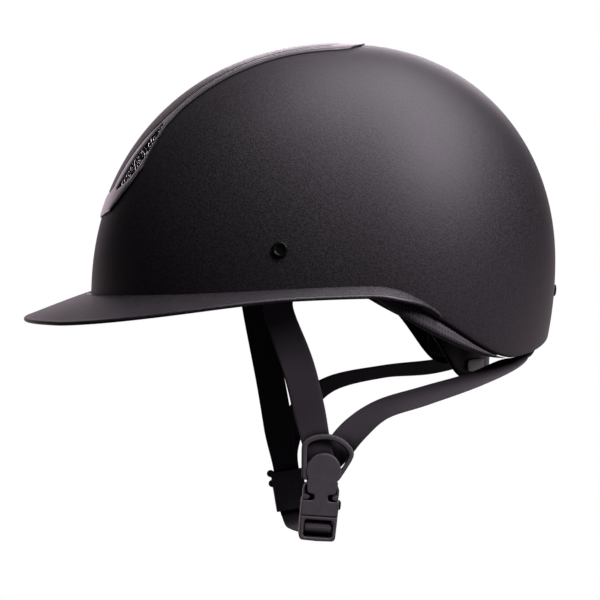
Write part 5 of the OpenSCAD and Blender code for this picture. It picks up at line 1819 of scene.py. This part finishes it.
leg = np.array([
    (6.5, PRONG_FOOT), (9.3, PRONG_FOOT), (9.4, -18.2), (10.1, -17.7), (10.4, -14.6), (10.3, -11.4),
    (9.6, -9.5), (8.7, -8.9), (8.1, -9.6), (8.6, -11.6), (8.7, -14.0), (7.0, -14.7), (6.2, -15.2),
    (6.1, -16.4), (6.8, -17.3), (7.4, -18.2), (6.5, -19.6)])
hook = np.array([
    (8.8, -14.3), (7.0, -14.9), (6.3, -15.4), (6.3, -16.3), (6.9, -17.1), (8.8, -17.6),
    (10.0, -17.4), (10.2, -14.8)])
for side, body in ((-1, "prong_front"), (1, "prong_rear")):
    root = arc(PRONG_ROOT_R, 0, 345, 24, (side * PRONG_X, PRONG_FOOT))
    prong = fused(body, [
        extruded([leg * [side, 1]], -PRONG_T / 2, PRONG_T / 2, 0.5),
        extruded([hook * [side, 1]], HOOK_NEAR, HOOK_FAR, 0.4),
        extruded([root], -PRONG_T / 2, PRONG_T / 2, 0.2)], from_buckle, PRONG_VOXEL, 4)
    settle(prong, body, acetal, "buckle_plastic", body)

# %% [markdown]
# ## Divider and end cap
# The divider is a flat sleeve that the two right straps go through, with two small grips on its
# front edge. The cap closes the loose end of the chin strap so that it can't pull out of the clip.

# %% Divider and end cap
SLEEVE_W, SLEEVE_T, SLOT_W, SLOT_T = 20.2, 7.5, 17.4, 4.7
GRIP_R, GRIP_HALF, GRIPS_DOWN = 2.3, 2.75, (0.5, 6.8)
CAP_T, CAP_W, CAP_VOXEL = STRAP_T + 6 * GAP + 0.6, STRAP_W + 4.6, 0.12
CAP_FOOT, CAP_HEAD = CLIP_TOP + TAIL_END - 2.4, CLIP_TOP + TAIL_END + 2.8

cheek = rounded_box((-SLEEVE_W / 2, -SLEEVE_H / 2), (SLEEVE_W / 2, SLEEVE_H / 2), 2.0)
side_wall = rounded_box((SLOT_W / 2, -SLEEVE_H / 2), (SLEEVE_W / 2, SLEEVE_H / 2), 0.6)
grips = [arc(GRIP_R, 0, 345, 24, (-SLEEVE_W / 2, SLEEVE_H / 2 - down)) for down in GRIPS_DOWN]
grips = [extruded([grip], -GRIP_HALF, GRIP_HALF, 0.8) for grip in grips]
divider = fused("strap_divider", grips + [
    extruded([cheek], -SLEEVE_T / 2, -SLOT_T / 2, 0.5),
    extruded([cheek], SLOT_T / 2, SLEEVE_T / 2, 0.5),
    extruded([side_wall], -SLEEVE_T / 2 + 0.5, SLEEVE_T / 2 - 0.5, 0.4),
    extruded([side_wall * MIRROR], -SLEEVE_T / 2 + 0.5, SLEEVE_T / 2 - 0.5, 0.4)], from_divider)
settle(divider, "helmet", acetal, "buckle_plastic", "strap_divider")

left, right = TAIL_X - CAP_W / 2, TAIL_X + CAP_W / 2
lid = rounded_box((left, CAP_FOOT), (right, CAP_HEAD), 1.4)
roof = rounded_box((left, CAP_HEAD - 1.8), (right, CAP_HEAD), 0.9)
near, far, slit = TAIL_Y - CAP_T / 2, TAIL_Y + CAP_T / 2, (STRAP_T + 4 * GAP) / 2
cap = fused("strap_end_cap", [
    extruded([lid], near, TAIL_Y - slit, 0.15), extruded([lid], TAIL_Y + slit, far, 0.15),
    extruded([roof], near, far, 0.4)], from_buckle, CAP_VOXEL, 4)
settle(cap, "clip", satin_black, "cradle_plastic", "strap_end_cap")
